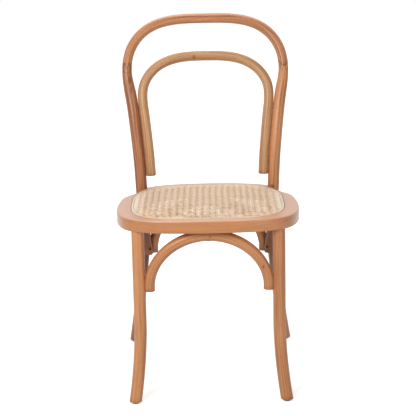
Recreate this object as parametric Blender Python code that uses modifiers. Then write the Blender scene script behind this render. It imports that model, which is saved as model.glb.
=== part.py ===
"""A bentwood dining chair with a cane seat, made piece by piece.

The chair stands on four feet at z = 0 and faces -Y, so that -X is on the left of someone
who looks at its front. Every length is in metres.

Its seat is one wide wooden ring with a woven cane web pressed into a groove. Two turned front
legs are tenoned into the ring from below. Two long rear posts run from the floor, past the
ring's rear corners, and carry the top bow on finger joints. An inner bow is screwed between
the posts, and four bent arches brace the legs under the seat.
"""

import math

import bmesh
import bpy
import numpy as np
from mathutils import Matrix, Vector

# Seat ring
SEAT_HEIGHT = 0.4575
RING_THICKNESS = 0.030
RING_WIDTH = 0.443
RING_DEPTH = 0.402
RING_EDGE_ROUND = 0.003
GROOVE_DEPTH = 0.008
LIP_WIDTH = 0.020
LIP_DROP = 0.0013

# Woven cane web, set in from the ring's edge, and the strip that locks it in the groove
CANE_INSET_X = 0.0345
CANE_INSET_Y = 0.0255
CANE_FRONT_POWER = 3.7
CANE_REAR_POWER = 3.05
CANE_THICKNESS = 0.0015
CANE_SKIRT = 0.0055
SKIRT_TOP_SHARE = 0.8
CANE_PITCH = 0.0205
CANE_STRAND = 0.0080
CANE_EDGE_MARGIN = 0.002
STRIP_WIDTH = 0.005
STRIP_PROUD = 0.0012

# Front legs, set in from the ring's edge
LEG_RADIUS = 0.015
LEG_INSET_X = 0.0545
LEG_INSET_Y = 0.043
FLARE_HEIGHT = 0.2015
FLARE_OUT = 0.0172
FLARE_FORWARD = 0.019
FLARE_POWER = 1.85
TENON_RADIUS = 0.010
TENON_LENGTH = 0.018

# Rear posts, measured at their centre lines: set in from the ring's edge where they pass it,
# drawn in to a waist below the seat, then swept out and back to the foot
POST_RADIUS = 0.015
POST_INSET_X = 0.0512
POST_INSET_Y = 0.045
POST_WAIST_INSET = 0.0035
REAR_FOOT_OUT = 0.0404
REAR_FOOT_BACK = 0.109
HOUSING_DEPTH = 0.0065
HOUSING_TURN = math.radians(25)
POST_TAPER_LENGTH = 0.067

# Top bow, with its joints below the chair's top, and how far the back flares and leans
TOTAL_HEIGHT = 0.894
JOINT_DROP = 0.1355
BACK_FLARE = 0.032
BACK_LEAN = 0.112
TOP_BOW_RADIUS = 0.0125
TOP_BOW_POWER = 3.3
FIRST_BOW_SHARE = 0.25
FINGER_COUNT = 2
FINGER_LENGTH = 0.014
FINGER_TIP = 0.0012

# Inner bow: its top below the chair's top, its bend below the joint, its ends above the seat
INNER_BOW_RADIUS = 0.0125
INNER_BOW_POWER = 2.95
INNER_BOW_TOP_DROP = 0.0935
INNER_BOW_BEND_DROP = 0.072
INNER_BOW_END_RISE = 0.0315
INNER_BOW_BLEND_LENGTH = 0.027
BOW_START_ANGLE = math.radians(22)

# Arches under the seat: their feet below the ring, their crowns out past the legs
ARCH_DROP = 0.150
ARCH_SPRING_LENGTH = 0.009
ARCH_END_RADIUS = 0.0126
ARCH_CROWN_RADIUS = 0.0138
ARCH_POWER = 1.94
ARCH_CROWN_FLAT = 0.0012
ARCH_COPE_DEPTH = 0.0028
FRONT_ARCH_BULGE = 0.008
REAR_ARCH_BULGE = 0.022
SIDE_ARCH_BULGE = 0.008
SIDE_ARCH_TURN = math.radians(10)
SIDE_ARCH_REAR_TURN = math.radians(27)

# Screws and bolts
SCREW_HEAD_RADIUS = 0.0036
SCREW_HEAD_HEIGHT = 0.0026
SCREW_SHANK_RADIUS = 0.0018
SCREW_RECESS = 0.004
SCREW_BITE = 0.011
DRIVE_RADIUS = 0.0016
DRIVE_DEPTH = 0.0014
BOLT_HEAD_RADIUS = 0.0055
BOLT_HEAD_HEIGHT = 0.004
BOLT_SHANK_RADIUS = 0.003
BOLT_BITE = 0.024
BOLT_RECESS = 0.003
BOLT_HEIGHT_IN_RING = 0.012
ARCH_SCREW_RISE = 0.018
FRONT_CROWN_SCREW_TILT = math.radians(30)
BOW_SCREW_END_RISE = 0.0325
BOW_SCREW_BEND_DROP = 0.023

# Foot glides
GLIDE_RADIUS = 0.0095
GLIDE_THICKNESS = 0.0045
GLIDE_EDGE = 0.0008
GLIDE_PIN_RADIUS = 0.0015
GLIDE_PIN_LENGTH = 0.014
FOOT_CHAMFER = 0.0015

# Fit between touching pieces, and how far a cutter runs past what it cuts
GAP = 0.0003
OVERRUN = 0.010

# Facets, and how finely the lines are worked out before they are cut into facets
OUTLINE_POINTS = 64
BAR_STEP = 0.024
FEWEST_BAR_POINTS = 4
BAR_BEVEL_RESOLUTION = 4
SCREW_SIDES = 8
PEG_SIDES = 12
SHARP_ANGLE = math.radians(40)
ARC_POINTS = 33
BOW_POINTS = 14
FINE_POINTS = 2400

# The ring's outline from its rear middle to its front middle: (x, y) shares of half the ring.
# The line between the two lists passes the rear post, where the post is let into the ring.
RING_REAR_SHARES = ((0.0, 0.997), (0.339, 0.973), (0.578, 0.903), (0.687, 0.836))
RING_SIDE_SHARES = (
    (0.786, 0.607), (0.831, 0.488), (0.889, 0.386), (0.946, 0.284), (0.975, 0.149),
    (0.996, -0.075), (1.0, -0.299), (0.986, -0.483), (0.944, -0.652), (0.858, -0.811),
    (0.677, -0.925), (0.397, -0.985), (0.0, -1.0))

# The rear post below the seat, seat to floor: shares of the height, and of the way from the
# waist out to the foot and from the seat back to the foot.
POST_LOW_HEIGHT_SHARES = (0.816, 0.617, 0.408, 0.186, 0.0)
POST_LOW_OUT_SHARES = (0.0, 0.128, 0.393, 0.673, 1.0)
POST_LOW_BACK_SHARES = (0.09, 0.27, 0.50, 0.77, 1.0)

# The rear post above the seat: shares of the way from the seat up to the finger joint and out
# to the back's full width, and of the way from the seat up to the top and back to the lean.
POST_HIGH_HEIGHT_SHARES = (0.247, 0.437, 0.630, 0.816, 1.0)
POST_HIGH_OUT_SHARES = (0.112, 0.272, 0.484, 0.760, 1.0)
LEAN_HEIGHT_SHARES = (0.178, 0.453, 0.720, 1.0)
LEAN_BACK_SHARES = (0.020, 0.240, 0.585, 1.0)

# Colours, with roughness and metallic value
STAINED_WOOD = ((0.53, 0.24, 0.11), 0.42, 0.0)
PALE_WOOD = ((0.51, 0.29, 0.14), 0.45, 0.0)
CANE_STRAW = ((0.73, 0.55, 0.34), 0.55, 0.0)
STRIP_STRAW = ((0.78, 0.62, 0.42), 0.50, 0.0)
DARK_STEEL = ((0.10, 0.09, 0.08), 0.35, 1.0)
GLIDE_PLASTIC = ((0.05, 0.045, 0.04), 0.50, 0.0)

# Sizes that follow from the ones above
RING_UNDERSIDE = SEAT_HEIGHT - RING_THICKNESS
SEAT_MIDDLE = SEAT_HEIGHT - RING_THICKNESS / 2
LIP_TOP = SEAT_HEIGHT - LIP_DROP
GROOVE_WIDTH = STRIP_WIDTH + CANE_THICKNESS + 3 * GAP
CANE_WIDTH = RING_WIDTH - 2 * CANE_INSET_X
CANE_DEPTH = RING_DEPTH - 2 * CANE_INSET_Y
LEG_X = RING_WIDTH / 2 - LEG_INSET_X
LEG_Y = RING_DEPTH / 2 - LEG_INSET_Y
FOOT_PLANE = GLIDE_THICKNESS + GAP
POST_SEAT_X = RING_WIDTH / 2 - POST_INSET_X
POST_SEAT_Y = RING_DEPTH / 2 - POST_INSET_Y
POST_WAIST_X = POST_SEAT_X - POST_WAIST_INSET
REAR_FOOT_X = POST_WAIST_X + REAR_FOOT_OUT
REAR_FOOT_Y = POST_SEAT_Y + REAR_FOOT_BACK
TOP_BOW_CROWN = TOTAL_HEIGHT - TOP_BOW_RADIUS
JOINT_HEIGHT = TOTAL_HEIGHT - JOINT_DROP
BACK_HALF_WIDTH = POST_SEAT_X + BACK_FLARE
BACK_LEAN_Y = POST_SEAT_Y + BACK_LEAN
INNER_BOW_CROWN = TOTAL_HEIGHT - INNER_BOW_TOP_DROP - INNER_BOW_RADIUS
INNER_BOW_BEND = JOINT_HEIGHT - INNER_BOW_BEND_DROP
INNER_BOW_END = SEAT_HEIGHT + INNER_BOW_END_RISE
ARCH_END_HEIGHT = RING_UNDERSIDE - ARCH_DROP
ARCH_SPRING_HEIGHT = ARCH_END_HEIGHT + ARCH_SPRING_LENGTH
ARCH_CROWN_HEIGHT = RING_UNDERSIDE - GAP - ARCH_CROWN_RADIUS + ARCH_CROWN_FLAT
HOUSING_OUTWARD = (math.cos(HOUSING_TURN), math.sin(HOUSING_TURN), 0.0)
MERGE_DISTANCE = GAP / 10
PLANE_TOLERANCE = GAP / 100
REARMOST_Y = max(BACK_LEAN_Y + TOP_BOW_RADIUS, REAR_FOOT_Y + POST_RADIUS)
SEAT_CENTRE_Y = (RING_DEPTH / 2 - REARMOST_Y) / 2

SIDES = (("left", -1), ("right", 1))


def clear_scene():
    """Remove every object that the file holds."""
    for thing in list(bpy.data.objects):
        bpy.data.objects.remove(thing, do_unlink=True)


def new_collection(name):
    collection = bpy.data.collections.new(name)
    bpy.context.scene.collection.children.link(collection)
    return collection


def finish(name, look):
    """Return a plain material for one piece."""
    colour, roughness, metallic = look
    material = bpy.data.materials.new(name)
    material.use_nodes = True
    shader = material.node_tree.nodes["Principled BSDF"]
    shader.inputs["Base Color"].default_value = (*colour, 1.0)
    shader.inputs["Roughness"].default_value = roughness
    shader.inputs["Metallic"].default_value = metallic
    material.diffuse_color = (*colour, 1.0)
    return material


def add_piece(name, mesh, look):
    """Put a mesh in the chair as a named piece with its own material."""
    piece = bpy.data.objects.new(name, mesh)
    CHAIR.objects.link(piece)
    piece.parent = FRAME
    mesh.materials.clear()
    mesh.materials.append(finish(name + "_finish", look))
    return piece


def add_cutter(name, mesh):
    """Put a mesh among the cutters, which only shape the pieces."""
    cutter = bpy.data.objects.new(name, mesh)
    CUTTERS.objects.link(cutter)
    cutter.parent = FRAME
    cutter.hide_render = True
    cutter.display_type = "WIRE"
    return cutter


def cut(piece, cutter, operation="DIFFERENCE", solver="EXACT"):
    modifier = piece.modifiers.new(cutter.name, "BOOLEAN")
    modifier.operation = operation
    modifier.solver = solver
    modifier.object = cutter


def tidy_mesh(mesh):
    """Close a mesh's caps, turn its faces outwards and shade its round sides smooth."""
    shape = bmesh.new()
    shape.from_mesh(mesh)
    bmesh.ops.remove_doubles(shape, verts=shape.verts, dist=MERGE_DISTANCE)
    bmesh.ops.recalc_face_normals(shape, faces=shape.faces)
    shape.to_mesh(mesh)
    shape.free()
    mesh.shade_smooth()
    mesh.set_sharp_from_angle(angle=SHARP_ANGLE)
    return mesh


def evaluated_mesh(holder):
    """Return the closed mesh that a curve or a modifier makes, and remove its object."""
    bpy.context.scene.collection.objects.link(holder)
    evaluated = holder.evaluated_get(bpy.context.evaluated_depsgraph_get())
    mesh = bpy.data.meshes.new_from_object(evaluated)
    bpy.data.objects.remove(holder, do_unlink=True)
    return tidy_mesh(mesh)


def spline(places, values):
    """Return the natural cubic spline through the values as a function of place."""
    x = np.asarray(places, float)
    y = np.asarray(values, float).reshape(len(x), -1)
    step = np.diff(x)
    rise = np.diff(y, axis=0) / step[:, None]
    system = np.eye(len(x))
    target = np.zeros_like(y)
    for i in range(1, len(x) - 1):
        system[i, i - 1:i + 2] = step[i - 1], 2 * (step[i - 1] + step[i]), step[i]
        target[i] = 6 * (rise[i] - rise[i - 1])
    bend = np.linalg.solve(system, target)

    def at(place):
        t = np.atleast_1d(np.asarray(place, float))
        i = np.clip(np.searchsorted(x, t) - 1, 0, len(x) - 2)
        h, a, b = step[i, None], (x[i + 1] - t)[:, None], (t - x[i])[:, None]
        curve = (bend[i] * a ** 3 + bend[i + 1] * b ** 3) / (6 * h)
        curve += (y[i] / h - bend[i] * h / 6) * a + (y[i + 1] / h - bend[i + 1] * h / 6) * b
        return curve if curve.shape[1] > 1 else curve[:, 0]

    return at


def run_lengths(points):
    """Return how far along a line each of its points lies."""
    return np.concatenate(([0.0], np.cumsum(np.linalg.norm(np.diff(points, axis=0), axis=1))))


def smooth_line(points):
    """Return many points of the smooth line through a few."""
    points = np.asarray(points, float)
    runs = run_lengths(points)
    return spline(runs, points)(np.linspace(runs[0], runs[-1], FINE_POINTS))


def even_points(points, count):
    """Return points at equal steps along a line, both ends among them."""
    runs = run_lengths(points)
    places = np.linspace(0.0, runs[-1], count)
    return np.column_stack([np.interp(places, runs, axis) for axis in points.T])


def even_loop(points, count):
    """Return points at equal steps round a closed line."""
    return even_points(np.vstack((points, points[:1])), count + 1)[:-1]


def steps_for(points):
    return max(FEWEST_BAR_POINTS, round(run_lengths(points)[-1] / BAR_STEP) + 1)


def mirrored(point, side):
    return np.array((side * point[0], point[1], point[2]))


def unit(vector):
    return np.asarray(vector, float) / np.linalg.norm(vector)


def bar_mesh(name, points, radii):
    """Make a round bar of changing thickness along a line."""
    thickest = max(radii)
    curve = bpy.data.curves.new(name, "CURVE")
    curve.dimensions = "3D"
    curve.bevel_depth = thickest
    curve.bevel_resolution = BAR_BEVEL_RESOLUTION
    curve.use_fill_caps = True
    line = curve.splines.new("POLY")
    line.points.add(len(points) - 1)
    for knot, point, radius in zip(line.points, points, radii):
        knot.co = (*point, 1.0)
        knot.radius = radius / thickest
    return evaluated_mesh(bpy.data.objects.new(name, curve))


def plate_mesh(name, outlines, low, high, edge_round=0.0):
    """Make a flat plate between two heights from closed outlines, the inner ones as holes."""
    curve = bpy.data.curves.new(name, "CURVE")
    curve.dimensions = "2D"
    curve.fill_mode = "BOTH"
    curve.extrude = (high - low) / 2 - edge_round
    curve.bevel_depth = edge_round
    curve.bevel_resolution = 0
    curve.offset = -edge_round
    for outline in outlines:
        line = curve.splines.new("POLY")
        line.points.add(len(outline) - 1)
        for knot, (x, y) in zip(line.points, outline):
            knot.co = (x, y, 0.0, 1.0)
        line.use_cyclic_u = True
    mesh = evaluated_mesh(bpy.data.objects.new(name, curve))
    for vertex in mesh.vertices:
        vertex.co.z += (low + high) / 2
    return mesh


def turned_mesh(name, profile, sides):
    """Turn a profile of (radius, height) pairs, top to bottom, about the Z axis."""
    corners = [(radius, 0.0, height) for radius, height in profile]
    mesh = bpy.data.meshes.new(name)
    mesh.from_pydata(corners, [(i, i + 1) for i in range(len(corners) - 1)], [])
    holder = bpy.data.objects.new(name, mesh)
    turn = holder.modifiers.new("turn", "SCREW")
    turn.steps = turn.render_steps = sides
    turn.use_merge_vertices = True
    turn.merge_threshold = MERGE_DISTANCE
    return evaluated_mesh(holder)


def peg_mesh(name, radius, top, bottom):
    """Make an upright round peg."""
    profile = ((0.0, top), (radius, top), (radius, bottom), (0.0, bottom))
    return turned_mesh(name, profile, PEG_SIDES)


def slice_mesh(mesh, point, outward, chamfer=0.0):
    """Cut off what lies outside a plane, and chamfer the new edge."""
    shape = bmesh.new()
    shape.from_mesh(mesh)
    geometry = list(shape.verts) + list(shape.edges) + list(shape.faces)
    bmesh.ops.bisect_plane(
        shape, geom=geometry, dist=PLANE_TOLERANCE, plane_co=point, plane_no=outward,
        clear_outer=True)
    rim = [edge for edge in shape.edges if edge.is_boundary]
    bmesh.ops.holes_fill(shape, edges=rim)
    if chamfer:
        bmesh.ops.bevel(
            shape, geom=rim, offset=chamfer, segments=1, affect="EDGES", clamp_overlap=True)
    shape.to_mesh(mesh)
    shape.free()
    return tidy_mesh(mesh)


def half_ring_stations():
    """Return the ring's outline stations on its right side, rear to front."""
    half = np.array((RING_WIDTH / 2, RING_DEPTH / 2))
    post, outward = np.array((POST_SEAT_X, POST_SEAT_Y)), np.array(HOUSING_OUTWARD[:2])
    corner = post - outward * (POST_RADIUS - HOUSING_DEPTH)
    rear = [half * share for share in np.array(RING_REAR_SHARES)]
    side = [half * share for share in np.array(RING_SIDE_SHARES)]
    return np.array(rear + [corner] + side)


def ring_line():
    """Return the ring's outer outline, anticlockwise from its rear middle."""
    right = half_ring_stations()
    left = right * (-1, 1)
    loop = np.vstack((left[:-1], right[:0:-1]))
    wrapped = np.vstack((loop, loop, loop, loop[:1]))
    runs = run_lengths(wrapped)
    start, end = runs[len(loop)], runs[2 * len(loop)]
    fine = spline(runs, wrapped)(np.linspace(start, end, FINE_POINTS, endpoint=False))
    return even_loop(fine, OUTLINE_POINTS)


def cane_line(inset):
    """Return the cane's rounded outline, drawn in by an inset."""
    angle = np.linspace(0.0, 2 * math.pi, FINE_POINTS, endpoint=False)
    across, along = np.cos(angle), np.sin(angle)
    power = np.where(along > 0, CANE_REAR_POWER, CANE_FRONT_POWER)
    x = (CANE_WIDTH / 2 - inset) * np.sign(across) * np.abs(across) ** (2 / power)
    y = (CANE_DEPTH / 2 - inset) * np.sign(along) * np.abs(along) ** (2 / power)
    return even_loop(np.column_stack((x, y)), OUTLINE_POINTS)


def inside_cane(point, inset):
    """Say whether a point lies inside the cane's outline drawn in by an inset."""
    power = CANE_REAR_POWER if point[1] > 0 else CANE_FRONT_POWER
    across = abs(point[0]) / (CANE_WIDTH / 2 - inset)
    along = abs(point[1]) / (CANE_DEPTH / 2 - inset)
    return across ** power + along ** power < 1.0


def between(start, end, shares):
    """Return the values that lie at shares of the way from a start to an end."""
    return [start + (end - start) * share for share in shares]


def front_leg_point(height):
    """Return the right front leg's centre at a height."""
    drop = max(0.0, (FLARE_HEIGHT - height) / FLARE_HEIGHT) ** FLARE_POWER
    return np.array((LEG_X + FLARE_OUT * drop, -LEG_Y - FLARE_FORWARD * drop, height))


def top_bow_x(rise):
    """Return the top bow's half width at a share of its rise."""
    return BACK_HALF_WIDTH * max(0.0, 1.0 - rise ** 2) ** (1 / TOP_BOW_POWER)


def post_curves():
    """Return the right post's x and the whole back's y as functions of height."""
    low = between(0.0, SEAT_MIDDLE, POST_LOW_HEIGHT_SHARES[::-1])
    low_x = between(POST_WAIST_X, REAR_FOOT_X, POST_LOW_OUT_SHARES[::-1])
    low_y = between(POST_SEAT_Y, REAR_FOOT_Y, POST_LOW_BACK_SHARES[::-1])
    high = between(SEAT_MIDDLE, JOINT_HEIGHT, POST_HIGH_HEIGHT_SHARES)
    high_x = between(POST_SEAT_X, BACK_HALF_WIDTH, POST_HIGH_OUT_SHARES)
    past = between(JOINT_HEIGHT, TOP_BOW_CROWN, (FIRST_BOW_SHARE,))
    lean = between(SEAT_MIDDLE, TOP_BOW_CROWN, LEAN_HEIGHT_SHARES)
    lean_y = between(POST_SEAT_Y, BACK_LEAN_Y, LEAN_BACK_SHARES)
    x_at = spline(
        low + [SEAT_MIDDLE] + high + past,
        low_x + [POST_SEAT_X] + high_x + [top_bow_x(FIRST_BOW_SHARE)])
    y_at = spline(low + [SEAT_MIDDLE] + lean, low_y + [POST_SEAT_Y] + lean_y)
    return x_at, y_at


def post_point(height):
    """Return the right post's centre at a height."""
    return np.array((POST_X(height)[0], BACK_Y(height)[0], height))


def post_radius(height):
    """Return the post's radius, which tapers to the top bow's just below the joint."""
    rise = (height - JOINT_HEIGHT + POST_TAPER_LENGTH) / POST_TAPER_LENGTH
    rise = min(1.0, max(0.0, rise))
    blend = rise * rise * (3 - 2 * rise)
    return POST_RADIUS + (TOP_BOW_RADIUS - POST_RADIUS) * blend


def post_frame(height):
    """Return the post's direction and its outward normal within the leaning back."""
    along = unit(post_point(height + GAP) - post_point(height - GAP))
    outward = unit(np.array((1.0, 0.0, 0.0)) - along * along[0])
    return along, outward


def back_half_line():
    """Return the right half of posts and top bow as one fine line, floor to crown."""
    heights = np.linspace(-OVERRUN, JOINT_HEIGHT, 2 * ARC_POINTS)
    posts = [post_point(height) for height in heights]
    bow = []
    for angle in np.linspace(0.0, math.pi / 2, ARC_POINTS)[1:]:
        rise = math.sin(angle)
        height = JOINT_HEIGHT + rise * (TOP_BOW_CROWN - JOINT_HEIGHT)
        bow.append(np.array((top_bow_x(rise), BACK_Y(height)[0], height)))
    return smooth_line(posts + bow)


def inner_bow_line():
    """Return the inner bow's centre line, left end to right end."""
    half = []
    for height in np.linspace(INNER_BOW_END, INNER_BOW_BEND - INNER_BOW_BLEND_LENGTH, BOW_POINTS):
        _, outward = post_frame(height)
        reach = post_radius(height) + INNER_BOW_RADIUS + GAP
        half.append(post_point(height) - outward * reach)
    _, outward = post_frame(INNER_BOW_BEND)
    reach = post_radius(INNER_BOW_BEND) + INNER_BOW_RADIUS + GAP
    width = (post_point(INNER_BOW_BEND) - outward * reach)[0]
    for angle in np.linspace(BOW_START_ANGLE, math.pi / 2, BOW_POINTS):
        height = INNER_BOW_BEND + (INNER_BOW_CROWN - INNER_BOW_BEND) * math.sin(angle)
        x = width * max(0.0, math.cos(angle)) ** (2 / INNER_BOW_POWER)
        half.append(np.array((x, BACK_Y(height)[0], height)))
    left = [mirrored(point, -1) for point in half]
    return smooth_line(left + half[-2::-1])


def arch_line(start, end, crown):
    """Return an arch's centre line: two straight feet and a rounded bow between them."""
    middle, reach = (start + end) / 2, (start - end) / 2
    lift = np.array((0.0, 0.0, ARCH_SPRING_LENGTH))
    points = [start]
    for angle in np.linspace(0.0, math.pi, ARC_POINTS):
        across = math.copysign(abs(math.cos(angle)) ** (2 / ARCH_POWER), math.cos(angle))
        points.append(middle + lift + reach * across + (crown - middle - lift) * math.sin(angle))
    points.append(end)
    return smooth_line(points)


def arch_foot(leg_point, leg_radius, towards):
    """Return where an arch's foot stands so that its bar is coped onto a leg."""
    reach = leg_radius + ARCH_END_RADIUS - ARCH_COPE_DEPTH
    foot = leg_point(ARCH_SPRING_HEIGHT) + unit(towards) * reach
    foot[2] = ARCH_END_HEIGHT
    return foot


def arch_radii(points):
    """Return an arch's radii, which swell from its feet to its crown."""
    rise = (points[:, 2] - ARCH_END_HEIGHT) / (ARCH_CROWN_HEIGHT - ARCH_END_HEIGHT)
    return ARCH_END_RADIUS + (ARCH_CROWN_RADIUS - ARCH_END_RADIUS) * np.clip(rise, 0.0, 1.0) ** 2


def front_leg_bar(side):
    """Return a front leg's centre line and radii, from below the floor to the ring."""
    height = RING_UNDERSIDE - GAP
    steps = round((height + OVERRUN) / BAR_STEP) + 1
    points = [mirrored(front_leg_point(z), side) for z in np.linspace(-OVERRUN, height, steps)]
    return points, [LEG_RADIUS] * steps


def post_bar(side):
    """Return a rear post's centre line and radii, from below the floor past the joint."""
    half = back_half_line()
    below = half[half[:, 2] < JOINT_HEIGHT + FINGER_LENGTH + OVERRUN / 2]
    points = even_points(below, steps_for(below)) * (side, 1, 1)
    return points, [post_radius(point[2]) for point in points]


def leg_cutters():
    """Make the cutters that cope the arches onto the legs and house the posts in the ring."""
    cutters = {}
    for side_name, side in SIDES:
        for row, leg_bar in (("front", front_leg_bar), ("rear", post_bar)):
            points, radii = leg_bar(side)
            mesh = bar_mesh("cope", points, [radius + GAP for radius in radii])
            cutters[row, side_name] = add_cutter(f"{row}_{side_name}_cope", mesh)
    return cutters


def make_seat_ring(copes):
    mesh = plate_mesh(
        "seat_ring", (ring_line(), cane_line(GROOVE_WIDTH + LIP_WIDTH)),
        RING_UNDERSIDE, SEAT_HEIGHT, RING_EDGE_ROUND)
    ring = add_piece("seat_ring", mesh, STAINED_WOOD)
    groove = plate_mesh(
        "groove", (cane_line(0.0), cane_line(GROOVE_WIDTH)),
        SEAT_HEIGHT - GROOVE_DEPTH, SEAT_HEIGHT + OVERRUN)
    cut(ring, add_cutter("cane_groove", groove))
    recess = plate_mesh(
        "recess", (cane_line(GROOVE_WIDTH / 2),), LIP_TOP, SEAT_HEIGHT + OVERRUN)
    cut(ring, add_cutter("lip_recess", recess))
    for side_name, side in SIDES:
        cut(ring, copes["rear", side_name])
        tenon = front_leg_point(RING_UNDERSIDE)
        mortise = peg_mesh(
            "mortise", TENON_RADIUS + GAP, RING_UNDERSIDE + TENON_LENGTH + GAP,
            RING_UNDERSIDE - OVERRUN)
        cutter = add_cutter(f"{side_name}_mortise", mortise)
        cutter.location = (side * tenon[0], tenon[1], 0.0)
        cut(ring, cutter)
    return ring


def make_cane_web():
    """Make the cane as a flat net whose border turns down into the groove."""
    low = LIP_TOP + GAP
    border = STRIP_WIDTH + 2 * GAP
    hole = (CANE_PITCH - CANE_STRAND) / 2
    clear = GROOVE_WIDTH + LIP_WIDTH + CANE_EDGE_MARGIN
    outlines = [cane_line(border + CANE_THICKNESS / 2)]
    columns = math.ceil(CANE_WIDTH / 2 / CANE_PITCH)
    rows = math.ceil(CANE_DEPTH / 2 / CANE_PITCH)
    corners = np.array(((-1, -1), (1, -1), (1, 1), (-1, 1))) * hole
    for row in range(-rows, rows + 1):
        for column in range(-columns, columns):
            square = corners + np.array((column + 1 / 2, row)) * CANE_PITCH
            if all(inside_cane(corner, clear) for corner in square):
                outlines.append(square)
    mesh = plate_mesh("cane_web", outlines, low, low + CANE_THICKNESS)
    web = add_piece("cane_web", mesh, CANE_STRAW)
    skirt = plate_mesh(
        "skirt", (cane_line(border), cane_line(border + CANE_THICKNESS)),
        low - CANE_SKIRT, low + CANE_THICKNESS * SKIRT_TOP_SHARE)
    cut(web, add_cutter("cane_skirt", skirt), "UNION", "MANIFOLD")
    return web


def make_cane_strip():
    """Make the strip that is pressed over the cane's border in the groove."""
    mesh = plate_mesh(
        "cane_strip", (cane_line(GAP), cane_line(GAP + STRIP_WIDTH)),
        SEAT_HEIGHT - GROOVE_DEPTH + GAP, SEAT_HEIGHT + STRIP_PROUD)
    return add_piece("cane_strip", mesh, STRIP_STRAW)


def make_front_leg(side_name, side):
    name = f"front_leg_{side_name}"
    mesh = bar_mesh(name, *front_leg_bar(side))
    slice_mesh(mesh, (0, 0, FOOT_PLANE), (0, 0, -1), FOOT_CHAMFER)
    leg = add_piece(name, mesh, STAINED_WOOD)
    top = front_leg_point(RING_UNDERSIDE)
    mesh = peg_mesh(
        "tenon", TENON_RADIUS, RING_UNDERSIDE + TENON_LENGTH, RING_UNDERSIDE - TENON_LENGTH)
    tenon = add_cutter(f"{side_name}_tenon", mesh)
    tenon.location = (side * top[0], top[1], 0.0)
    cut(leg, tenon, "UNION")
    return leg


def finger_outline(grow, end):
    """Return the finger joint's outline, closed by a block that runs past the bar."""
    reach = POST_RADIUS + OVERRUN
    pitch = 2 * TOP_BOW_RADIUS / FINGER_COUNT
    line = [(-reach, end), (-reach, grow)]
    for number in range(FINGER_COUNT):
        middle = (number - (FINGER_COUNT - 1) / 2) * pitch
        base = pitch / 2 - FINGER_TIP + grow
        line += [
            (middle - base, grow), (middle - FINGER_TIP - grow, FINGER_LENGTH + grow),
            (middle + FINGER_TIP + grow, FINGER_LENGTH + grow), (middle + base, grow)]
    return np.array(line + [(reach, grow), (reach, end)])


def finger_cutter(name, outline, side):
    """Set a finger joint's cutter across the bar, a quarter turn further on the right side."""
    depth = POST_RADIUS + OVERRUN
    cutter = add_cutter(name, plate_mesh(name, (outline,), -depth, depth))
    along, outward = post_frame(JOINT_HEIGHT)
    across = Vector(mirrored(outward, side)) * side
    along = Vector(mirrored(along, side))
    through = across.cross(along)
    if side > 0:
        across, through = through, -across
    cutter.rotation_mode = "QUATERNION"
    cutter.rotation_quaternion = Matrix((across, along, through)).transposed().to_quaternion()
    cutter.location = mirrored(post_point(JOINT_HEIGHT), side)
    return cutter


def make_back():
    """Make both rear posts and the top bow that their fingers run into."""
    half = back_half_line()
    crown = even_points(np.vstack((half * (-1, 1, 1), half[-2::-1])), FINE_POINTS)
    above = crown[crown[:, 2] > JOINT_HEIGHT - OVERRUN / 2]
    points = even_points(above, steps_for(above))
    radii = [post_radius(min(point[2], JOINT_HEIGHT)) for point in points]
    bow = add_piece("top_bow", bar_mesh("top_bow", points, radii), STAINED_WOOD)
    posts = {}
    for side_name, side in SIDES:
        name = f"rear_post_{side_name}"
        mesh = bar_mesh(name, *post_bar(side))
        slice_mesh(mesh, (0, 0, FOOT_PLANE), (0, 0, -1), FOOT_CHAMFER)
        posts[side_name] = add_piece(name, mesh, STAINED_WOOD)
        past = FINGER_LENGTH + 2 * OVERRUN
        above = finger_cutter(f"{side_name}_above_joint", finger_outline(0.0, past)[::-1], side)
        below = finger_cutter(f"{side_name}_below_joint", finger_outline(GAP, -past), side)
        cut(posts[side_name], above)
        cut(bow, below)
    return posts, bow


def make_inner_bow():
    line = inner_bow_line()
    points = even_points(line, steps_for(line))
    mesh = bar_mesh("inner_bow", points, [INNER_BOW_RADIUS] * len(points))
    return add_piece("inner_bow", mesh, PALE_WOOD)


def make_arch(name, start, end, crown, copes):
    line = arch_line(start, end, crown)
    points = even_points(line, steps_for(line))
    mesh = bar_mesh(name, points, arch_radii(points))
    slice_mesh(mesh, (0, 0, RING_UNDERSIDE - GAP), (0, 0, 1))
    arch = add_piece(name, mesh, STAINED_WOOD)
    for cope in copes:
        cut(arch, cope)
    return arch


def make_fastener(name, entry, direction, length, sizes, targets):
    """Make a screw or bolt with its head at the entry point, and its hole in each target."""
    head_radius, head_height, shank_radius, recess = sizes
    drive = DRIVE_RADIUS * head_radius / SCREW_HEAD_RADIUS
    profile = (
        (0.0, -DRIVE_DEPTH), (drive, -DRIVE_DEPTH), (drive, 0.0), (head_radius, 0.0),
        (shank_radius, -head_height), (shank_radius, -length + shank_radius), (0.0, -length))
    hole = (
        (0.0, recess + OVERRUN), (head_radius + GAP, recess + OVERRUN),
        (head_radius + GAP, -GAP), (shank_radius + GAP, -head_height - GAP),
        (shank_radius + GAP, -length - GAP), (0.0, -length - GAP))
    screw = add_piece(name, turned_mesh(name, profile, SCREW_SIDES), DARK_STEEL)
    cutter = add_cutter(name + "_hole", turned_mesh(name + "_hole", hole, SCREW_SIDES))
    for thing in (screw, cutter):
        thing.location = entry
        thing.rotation_mode = "QUATERNION"
        thing.rotation_quaternion = Vector(direction).to_track_quat("-Z", "Y")
    for target in targets:
        cut(target, cutter)
    return screw


SCREW = (SCREW_HEAD_RADIUS, SCREW_HEAD_HEIGHT, SCREW_SHANK_RADIUS, SCREW_RECESS)
BOLT = (BOLT_HEAD_RADIUS, BOLT_HEAD_HEIGHT, BOLT_SHANK_RADIUS, BOLT_RECESS)


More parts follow.
